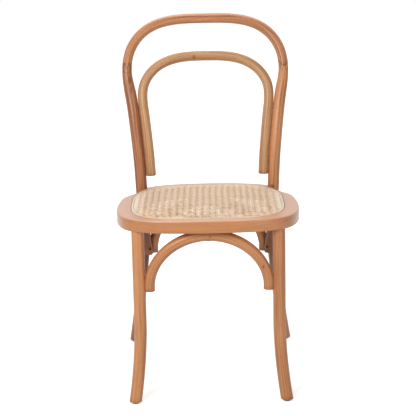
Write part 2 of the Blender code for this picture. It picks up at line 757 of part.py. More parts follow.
def fasten_inner_bow(inner_bow, posts):
    levels = (
        ("lower", INNER_BOW_END + BOW_SCREW_END_RISE), ("upper", INNER_BOW_BEND - BOW_SCREW_BEND_DROP))
    for side_name, side in SIDES:
        for level, height in levels:
            _, outward = post_frame(height)
            reach = post_radius(height) + GAP + 2 * INNER_BOW_RADIUS - SCREW_RECESS
            entry = mirrored(post_point(height) - outward * reach, side)
            length = 2 * INNER_BOW_RADIUS - SCREW_RECESS + GAP + SCREW_BITE
            make_fastener(
                f"bow_screw_{side_name}_{level}", entry, mirrored(outward, side), length, SCREW,
                (inner_bow, posts[side_name]))


def fasten_posts(ring, posts):
    height = RING_UNDERSIDE + BOLT_HEIGHT_IN_RING
    outward = np.array(HOUSING_OUTWARD)
    entry = post_point(height) + outward * (POST_RADIUS - BOLT_RECESS)
    length = POST_RADIUS - BOLT_RECESS + POST_RADIUS - HOUSING_DEPTH + BOLT_BITE
    for side_name, side in SIDES:
        make_fastener(
            f"post_bolt_{side_name}", mirrored(entry, side), mirrored(-outward, side), length,
            BOLT, (posts[side_name], ring))


def fasten_arch_foot(name, foot, leg_centre, arch, leg):
    """Screw one foot of an arch to its leg."""
    entry_height = ARCH_END_HEIGHT + ARCH_SCREW_RISE
    aim = np.array((leg_centre[0] - foot[0], leg_centre[1] - foot[1], 0.0))
    direction = unit(aim)
    middle = np.array((foot[0], foot[1], entry_height))
    entry = middle - direction * (ARCH_END_RADIUS - SCREW_RECESS)
    length = 2 * ARCH_END_RADIUS - SCREW_RECESS - ARCH_COPE_DEPTH + SCREW_BITE
    make_fastener(name, entry, direction, length, SCREW, (arch, leg))


def fasten_arch_crown(name, crown, tilt, arch, ring):
    """Screw an arch's crown up into the ring, leaning back by a tilt."""
    direction = np.array((0.0, math.sin(tilt), math.cos(tilt)))
    entry = crown - direction * (ARCH_CROWN_RADIUS - SCREW_RECESS)
    through = (RING_UNDERSIDE - entry[2]) / direction[2]
    make_fastener(name, entry, direction, through + SCREW_BITE, SCREW, (arch, ring))


def make_arches(copes, legs, posts, ring):
    crown_z = ARCH_CROWN_HEIGHT
    leg_at, post_at = front_leg_point(ARCH_SPRING_HEIGHT), post_point(ARCH_SPRING_HEIGHT)

    front = arch_foot(front_leg_point, LEG_RADIUS, (-1.0, 0.0, 0.0))
    crown = np.array((0.0, -LEG_Y - FRONT_ARCH_BULGE, crown_z))
    arch = make_arch(
        "front_arch", mirrored(front, -1), front, crown,
        [copes["front", name] for name, _ in SIDES])
    fasten_arch_crown("front_arch_crown_screw", crown, FRONT_CROWN_SCREW_TILT, arch, ring)
    for side_name, side in SIDES:
        fasten_arch_foot(
            f"front_arch_screw_{side_name}", mirrored(front, side), mirrored(leg_at, side),
            arch, legs[side_name])

    rear = arch_foot(post_point, POST_RADIUS, (-1.0, 0.0, 0.0))
    crown = np.array((0.0, POST_SEAT_Y + REAR_ARCH_BULGE, crown_z))
    arch = make_arch(
        "rear_arch", mirrored(rear, -1), rear, crown,
        [copes["rear", name] for name, _ in SIDES])
    fasten_arch_crown("rear_arch_crown_screw", crown, 0.0, arch, ring)
    for side_name, side in SIDES:
        fasten_arch_foot(
            f"rear_arch_screw_{side_name}", mirrored(rear, side), mirrored(post_at, side),
            arch, posts[side_name])

    turn, rear_turn = SIDE_ARCH_TURN, SIDE_ARCH_REAR_TURN
    near = arch_foot(front_leg_point, LEG_RADIUS, (-math.sin(turn), math.cos(turn), 0.0))
    far = arch_foot(post_point, POST_RADIUS, (-math.sin(rear_turn), -math.cos(rear_turn), 0.0))
    crown = np.array((LEG_X + SIDE_ARCH_BULGE, (near[1] + far[1]) / 2, crown_z))
    for side_name, side in SIDES:
        arch = make_arch(
            f"side_arch_{side_name}", mirrored(near, side), mirrored(far, side),
            mirrored(crown, side), (copes["front", side_name], copes["rear", side_name]))
        fasten_arch_crown(
            f"side_arch_crown_screw_{side_name}", mirrored(crown, side), 0.0, arch, ring)
        fasten_arch_foot(
            f"side_arch_front_screw_{side_name}", mirrored(near, side),
            mirrored(leg_at, side), arch, legs[side_name])
        fasten_arch_foot(
            f"side_arch_rear_screw_{side_name}", mirrored(far, side),
            mirrored(post_at, side), arch, posts[side_name])


def make_glide(name, foot, leg):
    """Make a foot's glide, a low disc on a pin that is driven into the wood."""
    top = FOOT_PLANE + GLIDE_PIN_LENGTH
    profile = (
        (0.0, top), (GLIDE_PIN_RADIUS, top - GLIDE_PIN_RADIUS),
        (GLIDE_PIN_RADIUS, GLIDE_THICKNESS), (GLIDE_RADIUS, GLIDE_THICKNESS),
        (GLIDE_RADIUS, GLIDE_EDGE), (GLIDE_RADIUS - GLIDE_EDGE, 0.0), (0.0, 0.0))
    glide = add_piece(name, turned_mesh(name, profile, PEG_SIDES), GLIDE_PLASTIC)
    hole = peg_mesh(name + "_hole", GLIDE_PIN_RADIUS + GAP, top + GAP, -OVERRUN)
    cutter = add_cutter(name + "_hole", hole)
    for thing in (glide, cutter):
        thing.location = (foot[0], foot[1], 0.0)
    cut(leg, cutter)


def make_glides(legs, posts):
    for side_name, side in SIDES:
        front = mirrored(front_leg_point(FOOT_PLANE), side)
        rear = mirrored(post_point(FOOT_PLANE), side)
        make_glide(f"glide_front_{side_name}", front, legs[side_name])
        make_glide(f"glide_rear_{side_name}", rear, posts[side_name])


def build_chair():
    copes = leg_cutters()
    ring = make_seat_ring(copes)
    make_cane_web()
    make_cane_strip()
    legs = {name: make_front_leg(name, side) for name, side in SIDES}
    posts, _ = make_back()
    inner_bow = make_inner_bow()
    fasten_inner_bow(inner_bow, posts)
    fasten_posts(ring, posts)
    make_arches(copes, legs, posts, ring)
    make_glides(legs, posts)


clear_scene()
CHAIR = new_collection("bentwood_chair")
CUTTERS = new_collection("cutters")
FRAME = bpy.data.objects.new("chair_frame", None)
FRAME.location = (0.0, SEAT_CENTRE_Y, 0.0)
CHAIR.objects.link(FRAME)
POST_X, BACK_Y = post_curves()
build_chair()
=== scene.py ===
# %% [markdown]
# # A bentwood chair with a cane seat
#
# This chair is made of beech bars that were steamed until soft and bent round iron moulds.
# Its CAD model already fixes every size and place. Here the model is dressed: smooth bars take
# the place of the faceted ones, the grain of each bar follows its bend, the seat gets its
# woven cane, and a camera, soft lights and a floor show the chair.

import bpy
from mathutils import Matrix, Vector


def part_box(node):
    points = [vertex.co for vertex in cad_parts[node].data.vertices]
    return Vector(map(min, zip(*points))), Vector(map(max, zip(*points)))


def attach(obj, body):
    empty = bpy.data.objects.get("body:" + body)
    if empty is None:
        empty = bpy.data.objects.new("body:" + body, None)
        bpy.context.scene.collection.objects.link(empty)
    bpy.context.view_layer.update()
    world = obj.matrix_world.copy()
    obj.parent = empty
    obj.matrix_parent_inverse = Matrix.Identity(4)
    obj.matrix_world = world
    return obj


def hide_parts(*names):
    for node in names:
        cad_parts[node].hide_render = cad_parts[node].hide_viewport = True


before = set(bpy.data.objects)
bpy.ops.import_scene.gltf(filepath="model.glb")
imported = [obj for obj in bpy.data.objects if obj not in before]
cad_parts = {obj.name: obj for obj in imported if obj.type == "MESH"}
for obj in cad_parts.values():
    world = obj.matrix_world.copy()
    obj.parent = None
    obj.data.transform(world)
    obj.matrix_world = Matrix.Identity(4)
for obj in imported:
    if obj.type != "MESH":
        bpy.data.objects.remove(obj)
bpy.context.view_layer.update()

# %% Tools for the whole lesson
import math

import bmesh
import bpy
import numpy as np
from mathutils import Matrix, Vector
from mathutils.kdtree import KDTree

# %% [markdown]
# ## Sizes
#
# The sizes are those of the CAD model, in metres, so each new piece falls on the node that it
# stands for. Heights are measured from the floor, and x and y from the middle of the seat. It
# isn't the frame's origin, because the back leans out behind, so the model gives the shift.

# %% Sizes of the seat and the bars
SEAT_HEIGHT, RING_THICKNESS, RING_WIDTH, RING_DEPTH = 0.4575, 0.030, 0.443, 0.402
CANE_WIDTH, CANE_DEPTH, CANE_FRONT_POWER, CANE_REAR_POWER = 0.374, 0.351, 3.7, 3.05
GROOVE_WIDTH, GROOVE_DEPTH, LIP_WIDTH, LIP_DROP = 0.0074, 0.008, 0.020, 0.0013
STRIP_WIDTH, STRIP_PROUD = 0.005, 0.0012
LEG_RADIUS, LEG_X, LEG_Y = 0.015, 0.167, 0.158
FLARE_HEIGHT, FLARE_OUT, FLARE_FORWARD, FLARE_POWER = 0.2015, 0.0172, 0.019, 1.85
TENON_RADIUS, TENON_LENGTH, TENON_ROOT = 0.010, 0.018, 0.012
POST_RADIUS, POST_SEAT_X, POST_SEAT_Y, POST_WAIST_X = 0.015, 0.1703, 0.156, 0.1668
REAR_FOOT_X, REAR_FOOT_Y = 0.2072, 0.265
HOUSING_DEPTH, HOUSING_TURN = 0.0065, math.radians(25)
TOTAL_HEIGHT, JOINT_HEIGHT, POST_TAPER_LENGTH = 0.894, 0.7585, 0.067
BACK_HALF_WIDTH, BACK_LEAN_Y = 0.2023, 0.268
TOP_BOW_RADIUS, TOP_BOW_POWER, FIRST_BOW_SHARE = 0.0125, 3.3, 0.25
FINGER_COUNT, FINGER_LENGTH, FINGER_TIP = 2, 0.014, 0.0012
INNER_BOW_RADIUS, INNER_BOW_POWER, BOW_START_ANGLE = 0.0125, 2.95, math.radians(22)
INNER_BOW_CROWN, INNER_BOW_BEND, INNER_BOW_BLEND, INNER_BOW_END = 0.788, 0.6865, 0.027, 0.489
ARCH_END_HEIGHT, ARCH_SPRING_LENGTH, ARCH_COPE_DEPTH = 0.2775, 0.009, 0.0028
ARCH_END_RADIUS, ARCH_CROWN_RADIUS, ARCH_POWER, ARCH_CROWN_FLAT = 0.0126, 0.0138, 1.94, 0.0012
CROWN_OUT, REAR_CROWN_OUT = 0.008, 0.022
SIDE_FRONT_TURN, SIDE_REAR_TURN = math.radians(80), math.radians(63)
FOOT_PLANE, GAP, OVERRUN, BOW_GAP = 0.0048, 0.0003, 0.010, 0.00004
FOOT_EASING, END_EASING, RING_INSET, SEAM_WIDTH = 0.0026, 0.0012, 0.0001, 0.0022
BAR_SIDES, BAR_STEP, CUTTER_SIDES, FINE_POINTS = 36, 0.0045, 48, 2400

RING_UNDERSIDE = SEAT_HEIGHT - RING_THICKNESS
SEAT_MIDDLE = SEAT_HEIGHT - RING_THICKNESS / 2
LIP_TOP = SEAT_HEIGHT - LIP_DROP
TOP_BOW_CROWN = TOTAL_HEIGHT - TOP_BOW_RADIUS
ARCH_SPRING_HEIGHT = ARCH_END_HEIGHT + ARCH_SPRING_LENGTH
ARCH_CROWN_HEIGHT = RING_UNDERSIDE - GAP - ARCH_CROWN_RADIUS + ARCH_CROWN_FLAT
SHIFT = Vector((0.0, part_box("seat_ring")[0].y + RING_DEPTH / 2, 0.0))
SIDES = (("left", -1), ("right", 1))
print("the seat's middle lies", round(SHIFT.y, 5), "m from the origin")

# %% [markdown]
# ## Centre lines
#
# A bent bar is described by its centre line and its thickness. A few places are joined by a
# natural cubic spline, the curve of a thin steel ruler that is held at those places. Bent
# wood behaves in the same way. A row of straight pieces and arcs would show its joins.

# %% Smooth lines through a few places
def spline(places, values):
    """Return the natural cubic spline through the values as a function of place."""
    x = np.asarray(places, float)
    y = np.asarray(values, float).reshape(len(x), -1)
    step = np.diff(x)
    rise = np.diff(y, axis=0) / step[:, None]
    system, target = np.eye(len(x)), np.zeros_like(y)
    for i in range(1, len(x) - 1):
        system[i, i - 1:i + 2] = step[i - 1], 2 * (step[i - 1] + step[i]), step[i]
        target[i] = 6 * (rise[i] - rise[i - 1])
    bend = np.linalg.solve(system, target)

    def at(place):
        t = np.atleast_1d(np.asarray(place, float))
        i = np.clip(np.searchsorted(x, t) - 1, 0, len(x) - 2)
        h, a, b = step[i, None], (x[i + 1] - t)[:, None], (t - x[i])[:, None]
        curve = (bend[i] * a ** 3 + bend[i + 1] * b ** 3) / (6 * h)
        curve += (y[i] / h - bend[i] * h / 6) * a + (y[i + 1] / h - bend[i + 1] * h / 6) * b
        return curve if curve.shape[1] > 1 else curve[:, 0]

    return at


def run_lengths(points):
    return np.concatenate(([0.0], np.cumsum(np.linalg.norm(np.diff(points, axis=0), axis=1))))


def smooth_line(points):
    points = np.asarray(points, float)
    runs = run_lengths(points)
    return spline(runs, points)(np.linspace(runs[0], runs[-1], FINE_POINTS))


def even_points(points, count):
    """Return points at equal steps along a line, both ends among them."""
    runs = run_lengths(points)
    places = np.linspace(0.0, runs[-1], count)
    return np.column_stack([np.interp(places, runs, axis) for axis in points.T])


def even_loop(points, count):
    return even_points(np.vstack((points, points[:1])), count + 1)[:-1]


def evenly(points):
    return even_points(points, round(run_lengths(points)[-1] / BAR_STEP) + 1)


def mirrored(point, side):
    return np.array((side * point[0], point[1], point[2]))


def unit(vector):
    return np.asarray(vector, float) / np.linalg.norm(vector)


half_way = float(spline((0, 1, 2), (0, 1, 0))(0.5)[0])
print("a spline through 0, 1, 0 is", round(half_way, 4), "at a half")

# %% [markdown]
# ## The legs and the back as lines
#
# The front legs drop straight from the seat and sweep out at the foot. Each rear post is one
# bar from the floor to the joint of the back, and the top bow carries its line on over the
# crown, so both come from one curve. The inner bow lies against the posts and leaves them
# where it bends over.

# %% Lines of the legs and the back
def between(start, end, shares):
    return [start + (end - start) * share for share in shares]


def front_leg_point(height):
    drop = max(0.0, (FLARE_HEIGHT - height) / FLARE_HEIGHT) ** FLARE_POWER
    return np.array((LEG_X + FLARE_OUT * drop, -LEG_Y - FLARE_FORWARD * drop, height))


def top_bow_x(rise):
    return BACK_HALF_WIDTH * max(0.0, 1.0 - rise ** 2) ** (1 / TOP_BOW_POWER)


def post_curves():
    """Return the right post's x and the whole back's y as functions of height."""
    low = between(0.0, SEAT_MIDDLE, (0.0, 0.186, 0.408, 0.617, 0.816))
    low_x = between(POST_WAIST_X, REAR_FOOT_X, (1.0, 0.673, 0.393, 0.128, 0.0))
    low_y = between(POST_SEAT_Y, REAR_FOOT_Y, (1.0, 0.77, 0.50, 0.27, 0.09))
    high = between(SEAT_MIDDLE, JOINT_HEIGHT, (0.247, 0.437, 0.630, 0.816, 1.0))
    high_x = between(POST_SEAT_X, BACK_HALF_WIDTH, (0.112, 0.272, 0.484, 0.760, 1.0))
    past = between(JOINT_HEIGHT, TOP_BOW_CROWN, (FIRST_BOW_SHARE,))
    lean = between(SEAT_MIDDLE, TOP_BOW_CROWN, (0.178, 0.453, 0.720, 1.0))
    lean_y = between(POST_SEAT_Y, BACK_LEAN_Y, (0.020, 0.240, 0.585, 1.0))
    x_at = spline(
        low + [SEAT_MIDDLE] + high + past,
        low_x + [POST_SEAT_X] + high_x + [top_bow_x(FIRST_BOW_SHARE)])
    return x_at, spline(low + [SEAT_MIDDLE] + lean, low_y + [POST_SEAT_Y] + lean_y)


POST_X, BACK_Y = post_curves()


def post_point(height):
    return np.array((POST_X(height)[0], BACK_Y(height)[0], height))


def post_radius(height):
    """Return the post's radius, which tapers to the top bow's just below the joint."""
    rise = min(1.0, max(0.0, (height - JOINT_HEIGHT + POST_TAPER_LENGTH) / POST_TAPER_LENGTH))
    return POST_RADIUS + (TOP_BOW_RADIUS - POST_RADIUS) * rise * rise * (3 - 2 * rise)


def post_frame(height):
    """Return the post's direction and its outward normal within the leaning back."""
    along = unit(post_point(height + GAP) - post_point(height - GAP))
    return along, unit(np.array((1.0, 0.0, 0.0)) - along * along[0])


def back_half_line():
    """Return the right half of posts and top bow as one fine line, floor to crown."""
    posts = [post_point(height) for height in np.linspace(-OVERRUN, JOINT_HEIGHT, 66)]
    bow = []
    for angle in np.linspace(0.0, math.pi / 2, 33)[1:]:
        rise = math.sin(angle)
        height = JOINT_HEIGHT + rise * (TOP_BOW_CROWN - JOINT_HEIGHT)
        bow.append(np.array((top_bow_x(rise), BACK_Y(height)[0], height)))
    return smooth_line(posts + bow)


def inner_bow_line():
    """Return the inner bow's centre line, left end to right end."""
    half = []
    low = np.linspace(INNER_BOW_END, INNER_BOW_BEND - INNER_BOW_BLEND, 14)
    for height in (*low, INNER_BOW_BEND):
        reach = post_radius(height) + INNER_BOW_RADIUS + BOW_GAP
        half.append(post_point(height) - post_frame(height)[1] * reach)
    width = half.pop()[0]
    for angle in np.linspace(BOW_START_ANGLE, math.pi / 2, 14):
        height = INNER_BOW_BEND + (INNER_BOW_CROWN - INNER_BOW_BEND) * math.sin(angle)
        x = width * max(0.0, math.cos(angle)) ** (2 / INNER_BOW_POWER)
        half.append(np.array((x, BACK_Y(height)[0], height)))
    left = [mirrored(point, -1) for point in half]
    return smooth_line(left + half[-2::-1])


HALF_BACK = back_half_line()
print("the back's line from floor to crown:", round(float(run_lengths(HALF_BACK)[-1]), 3), "m")

# %% [markdown]
# Each brace under the seat is an arch with two short straight feet. The feet are hollowed to
# fit round the legs, which is called a cope, and the crown is planed flat where it meets the
# seat ring. The arch swells a little from its feet to its crown.

# %% Lines of the arches
def arch_line(start, end, crown):
    middle, reach = (start + end) / 2, (start - end) / 2
    lift = np.array((0.0, 0.0, ARCH_SPRING_LENGTH))
    points = [start]
    for angle in np.linspace(0.0, math.pi, 33):
        across = math.copysign(abs(math.cos(angle)) ** (2 / ARCH_POWER), math.cos(angle))
        points.append(middle + lift + reach * across + (crown - middle - lift) * math.sin(angle))
    return smooth_line(points + [end])


def arch_foot(leg_point, leg_radius, turn, forward):
    """Return where an arch's foot stands, on the leg's side that a turn from -X gives."""
    reach = leg_radius + ARCH_END_RADIUS - ARCH_COPE_DEPTH
    towards = np.array((-math.cos(turn), forward * math.sin(turn), 0.0))
    foot = leg_point(ARCH_SPRING_HEIGHT) + towards * reach
    foot[2] = ARCH_END_HEIGHT
    return foot


def arch_radii(points):
    rise = (points[:, 2] - ARCH_END_HEIGHT) / (ARCH_CROWN_HEIGHT - ARCH_END_HEIGHT)
    return ARCH_END_RADIUS + (ARCH_CROWN_RADIUS - ARCH_END_RADIUS) * np.clip(rise, 0.0, 1.0) ** 2


FRONT_FOOT = arch_foot(front_leg_point, LEG_RADIUS, 0.0, 1)
REAR_FOOT = arch_foot(post_point, POST_RADIUS, 0.0, -1)
SIDE_FRONT_FOOT = arch_foot(front_leg_point, LEG_RADIUS, SIDE_FRONT_TURN, 1)
SIDE_REAR_FOOT = arch_foot(post_point, POST_RADIUS, SIDE_REAR_TURN, -1)
FRONT_CROWN = np.array((0.0, -LEG_Y - CROWN_OUT, ARCH_CROWN_HEIGHT))
REAR_CROWN = np.array((0.0, POST_SEAT_Y + REAR_CROWN_OUT, ARCH_CROWN_HEIGHT))
SIDE_CROWN = np.array(
    (LEG_X + CROWN_OUT, (SIDE_FRONT_FOOT[1] + SIDE_REAR_FOOT[1]) / 2, ARCH_CROWN_HEIGHT))
print("the arches rise to", round(ARCH_CROWN_HEIGHT, 4), "m")

# %% [markdown]
# ## A bar along a line
#
# A bar is a circle that is extruded again and again, each time moved to the next place of its
# line. Every place has a matrix: its third axis looks along the bar, and its first two carry
# the section. A curve object with a bevel would be quicker to set up, but the same matrices
# are needed later to find the grain.

# %% Places of a bar's sections
def sections(line, radii, facing, closed=False):
    """Return a matrix for each point of a line, its section turned towards a facing."""
    if closed:
        along = np.roll(line, -1, axis=0) - np.roll(line, 1, axis=0)
    else:
        along = np.gradient(line, axis=0)
    made = []
    for point, direction, radius in zip(line, along, radii):
        z = Vector(direction).normalized()
        x = Vector(facing).cross(z).normalized()
        turn = Matrix((x, z.cross(x), z)).transposed().to_4x4()
        made.append(Matrix.Translation(point) @ turn @ Matrix.Diagonal((radius, radius, 1, 1)))
    return made


# %% Extrude a bar
def is_kind(items, kind):
    return [item for item in items if isinstance(item, kind)]


def bent_bar(line, radii, facing, sides=BAR_SIDES):
    """Return a closed round bar along a line as a bmesh."""
    places = sections(line, radii, facing)
    shape = bmesh.new()
    bmesh.ops.create_circle(shape, segments=sides, radius=1.0, matrix=places[0])
    rim = shape.edges[:]
    for last, place in zip(places, places[1:]):
        made = bmesh.ops.extrude_edge_only(shape, edges=rim)["geom"]
        corners = is_kind(made, bmesh.types.BMVert)
        bmesh.ops.transform(shape, matrix=place @ last.inverted(), verts=corners)
        rim = [edge for edge in is_kind(made, bmesh.types.BMEdge) if edge.is_boundary]
    cap(shape)
    return shape


def cap(shape):
    """Close every open rim and return the rims' edges."""
    rims = [edge for edge in shape.edges if edge.is_boundary]
    bmesh.ops.holes_fill(shape, edges=rims)
    bmesh.ops.recalc_face_normals(shape, faces=shape.faces)
    return rims


def ease(shape, edges, width):
    """Round edges over, as a few strokes of sandpaper do."""
    bmesh.ops.bevel(
        shape, geom=edges, offset=width, segments=3, profile=0.5, affect="EDGES", material=-1,
        clamp_overlap=True)


def ease_ends(shape):
    ends = [edge for face in shape.faces if len(face.verts) > 4 for edge in face.edges]
    ease(shape, ends, END_EASING)


def saw(shape, point, outward, rounding=0.0):
    """Saw off what lies outside a plane, and round the new edge over."""
    geometry = shape.verts[:] + shape.edges[:] + shape.faces[:]
    bmesh.ops.bisect_plane(
        shape, geom=geometry, dist=GAP / 100, plane_co=point, plane_no=outward, clear_outer=True)
    rims = cap(shape)
    if rounding:
        ease(shape, rims, rounding)


# %% [markdown]
# ## Pieces and cuts
#
# A finished piece stays at the origin, with its place in its mesh. The joints between pieces
# are cut with Booleans, and the result is stored as the mesh, so that the piece keeps no live
# cutter. Solids that were modelled with their joints would need each joint worked out by hand.

# %% Store a piece, and carve it
SHARP = math.radians(32)


def into_scene(name, data):
    thing = bpy.data.objects.new(name, data)
    bpy.context.scene.collection.objects.link(thing)
    return thing


def into_object(name, shape, shift=SHIFT):
    """Move a shape to the seat's middle and store it as an object."""
    mesh = bpy.data.meshes.new(name)
    bmesh.ops.translate(shape, verts=shape.verts, vec=shift)
    shape.to_mesh(mesh)
    shape.free()
    return into_scene(name, mesh)


def discard(cutters):
    for cutter in cutters:
        bpy.data.objects.remove(cutter)


def shade(piece):
    piece.data.shade_smooth()
    piece.data.set_sharp_from_angle(angle=SHARP)


def bored(piece):
    """Let a cutter leave the finish of bored wood, a mesh's second one, on what it cuts; that
    finish is dark with painted shade.
    """
    for _ in range(2):
        piece.data.materials.append(None)
    piece.data.polygons.foreach_set("material_index", [1] * len(piece.data.polygons))
    return piece


def carve(piece, cutters, operation="DIFFERENCE"):
    """Cut the cutters out of a piece one after the other, and keep the result as its mesh."""
    while len(piece.data.materials) < 2:
        piece.data.materials.append(None)
    for cutter in cutters:
        cut = piece.modifiers.new(cutter.name, "BOOLEAN")
        cut.operation, cut.solver, cut.object = operation, "EXACT", cutter
    ready = piece.evaluated_get(bpy.context.evaluated_depsgraph_get())
    carved = bpy.data.meshes.new_from_object(ready)
    piece.modifiers.clear()
    plain, piece.data = piece.data, carved
    bpy.data.meshes.remove(plain)


def dress(piece, node, finish):
    """Let a piece stand for a CAD node, in the finish of its slot."""
    if len(piece.data.materials) < 2:
        piece.data.materials.append(finish)
    else:
        piece.data.materials[0], piece.data.materials[1] = finish, BORED_IN_SHADE
    if piece.name.startswith(node):
        piece.name = piece.data.name = node + "_finished"
    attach(piece, "root")
    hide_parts(node)


# %% [markdown]
# ## Grain that follows the bend
#
# When a bar is bent, its fibres bend with it. A wood pattern in plain object coordinates would
# run straight through the bends, like a print. So every face corner stores where it lay in the
# straight stick: two distances across the section and one along the line. The finish reads
# that place. Each bar starts at its own distance, so no two bars show the same figure.

# %% Note the grain
END_SHADE, END_DEPTH = 0.012, 0.45


def vertex_places(mesh):
    """Return the places of a mesh's points, measured from the seat's middle."""
    places = np.zeros(len(mesh.vertices) * 3)
    mesh.vertices.foreach_get("co", places)
    return places.reshape(-1, 3) - np.array(SHIFT)


def store(mesh, name, values, domain="POINT"):
    kind, part = ("FLOAT_VECTOR", "vector") if np.ndim(values) > 1 else ("FLOAT", "value")
    mesh.attributes.new(name, kind, domain).data.foreach_set(part, np.ravel(values))


def tree_of(points):
    tree = KDTree(len(points))
    for i, point in enumerate(points):
        tree.insert(point, i)
    tree.balance()
    return tree


def note_grain(piece, line, facing, start, tone=0.0, closed=False):
    """Store each face corner's place in the straight stick, and each point's shade."""
    mesh, corners, tree = piece.data, vertex_places(piece.data), tree_of(line)
    places = sections(line, np.ones(len(line)), facing, closed)
    nearest = np.array([tree.find(corner)[1] for corner in corners])
    turns = np.array([place.to_3x3().transposed() for place in places])
    local = np.einsum("nij,nj->ni", turns[nearest], corners - np.asarray(line)[nearest])
    runs = run_lengths(np.vstack((line, line[:1])) if closed else line)
    local[:, 2] += runs[nearest]
    to_end = np.minimum(local[:, 2] - local[:, 2].min(), local[:, 2].max() - local[:, 2])
    ends = np.zeros(len(to_end)) if closed else np.clip(1.0 - to_end / END_SHADE, 0.0, 1.0)
    store(mesh, "shade", tone + END_DEPTH * ends)
    loops = np.zeros(len(mesh.loops), int)
    mesh.loops.foreach_get("vertex_index", loops)
    values = local[loops]
    if closed:
        for face in mesh.polygons:
            part = values[face.loop_start:face.loop_start + face.loop_total, 2]
            if part.max() - part.min() > runs[-1] / 2:
                part[part < runs[-1] / 2] += runs[-1]
    values[:, 2] += start
    store(mesh, "grain", values, "CORNER")


# %% [markdown]
# ## Finishes
#
# A finish is a material made of nodes. Its sums are written as plain Python: a Wire wraps the
# output of a node, and a sum of wires adds the Math nodes for it. Every other node comes from
# one method, which takes the node's type, its settings and its inputs.

# %% A wire that can be used in sums
def maths(operation, swapped=False):
    """Return a method that puts a wire, with other values, through a Math node."""
    def sum_of(wire, *others):
        values = (*others, wire) if swapped else (wire, *others)
        return wire.finish.node("Math", {"operation": operation}, dict(enumerate(values)))

    return sum_of


class Wire:
    """The output of a node, ready for sums."""

    __add__ = __radd__ = maths("ADD")
    __sub__, __rsub__, __mul__ = maths("SUBTRACT"), maths("SUBTRACT", True), maths("MULTIPLY")
    __truediv__, __pow__ = maths("DIVIDE"), maths("POWER")
    sine, absolute, fraction, rounded = map(maths, ("SINE", "ABSOLUTE", "FRACT", "ROUND"))

    def __init__(self, finish, socket):
        self.finish, self.socket = finish, socket

    def clamped(self):
        return self.finish.node("Clamp", {}, {0: self})


# %% A finish built from nodes
class Finish:
    """A material, or a world, whose nodes are added one call at a time."""

    def __init__(self, name, world=None):
        self.material = world or bpy.data.materials.new(name)
        self.material.use_nodes = True
        self.tree = self.material.node_tree
        self.shader = self.tree.nodes["Background" if world else "Principled BSDF"]

    def feed(self, socket, value):
        if isinstance(value, Wire):
            self.tree.links.new(value.socket, socket)
        else:
            socket.default_value = value

    def node(self, kind, settings, inputs, output=0):
        """Add a node, set its settings, feed its inputs and return one output."""
        node = self.tree.nodes.new("ShaderNode" + kind)
        for name, value in settings.items():
            setattr(node, name, value)
        for name, value in inputs.items():
            self.feed(node.inputs[name], value)
        return Wire(self, node.outputs[output])

    def set(self, **values):
        """Feed inputs of the shader, with _ for the spaces in their names."""
        for name, value in values.items():
            self.feed(self.shader.inputs[name.replace("_", " ")], value)

    def here(self):
        return self.node("TexCoord", {}, {}, "Object")

    def stored(self, attribute, output="Fac"):
        return self.node("Attribute", {"attribute_name": attribute}, {}, output)

    def axes(self, vector, *axes):
        return [self.node("SeparateXYZ", {}, {0: vector}, axis) for axis in axes]

    def vector(self, operation, *values):
        output = "Value" if operation in ("LENGTH", "DOT_PRODUCT") else "Vector"
        return self.node("VectorMath", {"operation": operation}, dict(enumerate(values)), output)

    def noise(self, across, along, detail, roughness=0.5, place=None):
        """Return noise with so many cells to the metre across the grain and along it."""
        place = place or self.stored("grain", "Vector")
        place = self.node("Mapping", {}, {"Vector": place, "Scale": (across, across, along)})
        return self.node("TexNoise", {}, {
            "Vector": place, "Scale": 1.0, "Detail": detail, "Roughness": roughness})

    def ramp(self, value, *stops):
        """Turn a value into a grey that runs from one stop, a place and a level, to the other."""
        grey = self.node("ValToRGB", {}, {"Fac": value})
        for element, (place, level) in zip(grey.socket.node.color_ramp.elements, stops):
            element.position, element.color = place, (level, level, level, 1.0)
        return grey

    def blend(self, factor, first, second):
        """Mix two colours, each a wire or three numbers."""
        first, second = (c if isinstance(c, Wire) else (*c, 1.0) for c in (first, second))
        return self.node("Mix", {"data_type": "RGBA"}, {0: factor, 6: first, 7: second}, 2)

    def bump(self, height, distance, strength):
        return self.node("Bump", {}, {"Height": height, "Distance": distance, "Strength": strength})


def toned(colour, share):
    return tuple(share * value for value in colour)


print("the finishes are ready to be mixed")

# %% [markdown]
# ## Stained beech
#
# Beech has an even, straight grain. Up close it shows short dark dashes, which are its rays
# cut across, then long fine fibres, and from further away soft bands where the year rings
# come to the surface. A warm stain evens it out, and a satin varnish gives long soft lights.
# The pattern is a solid one, cut by the surface: the year rings are circles about a pith that
# lies outside the bar, so they show as lines along it and as arcs on its ends.

# %% Marks in the wood, and painted shade
GLUE_LINE = 0.0010


def mark(wood, centre, size, waver):
    """Return a soft spot round a place, ragged along the grain."""
    offset = wood.vector("DIVIDE", wood.vector("SUBTRACT", wood.here(), centre), size)
    far = wood.vector("LENGTH", offset)
    return wood.ramp(far + waver * 1.6 - 0.8, (0.35, 1.0), (1.0, 0.0))


def joint_line(wood, side):
    """Return the thin dark line of glue where the fingers of a joint meet."""
    along, outward = (Vector(mirrored(axis, side)) for axis in post_frame(JOINT_HEIGHT))
    across = -outward if side < 0 else outward.cross(along)
    centre = Vector(mirrored(post_point(JOINT_HEIGHT), side)) + SHIFT
    offset = wood.vector("SUBTRACT", wood.here(), centre)
    up, sideways = (wood.vector("DOT_PRODUCT", offset, axis) for axis in (along, across))
    pitch = 2 * TOP_BOW_RADIUS / FINGER_COUNT
    flank = pitch / 2 - 2 * FINGER_TIP
    from_tip = ((sideways / pitch).fraction() - 0.5).absolute() * pitch
    edge = ((pitch / 2 - FINGER_TIP - from_tip) / flank).clamped()
    steep = (edge * (1.0 - edge) * 12.0).clamped() * (FINGER_LENGTH / flank - 1.0) + 1.0
    off = (up - edge * FINGER_LENGTH).absolute() / steep
    return wood.ramp(off / GLUE_LINE, (0.35, 1.0), (1.0, 0.0))


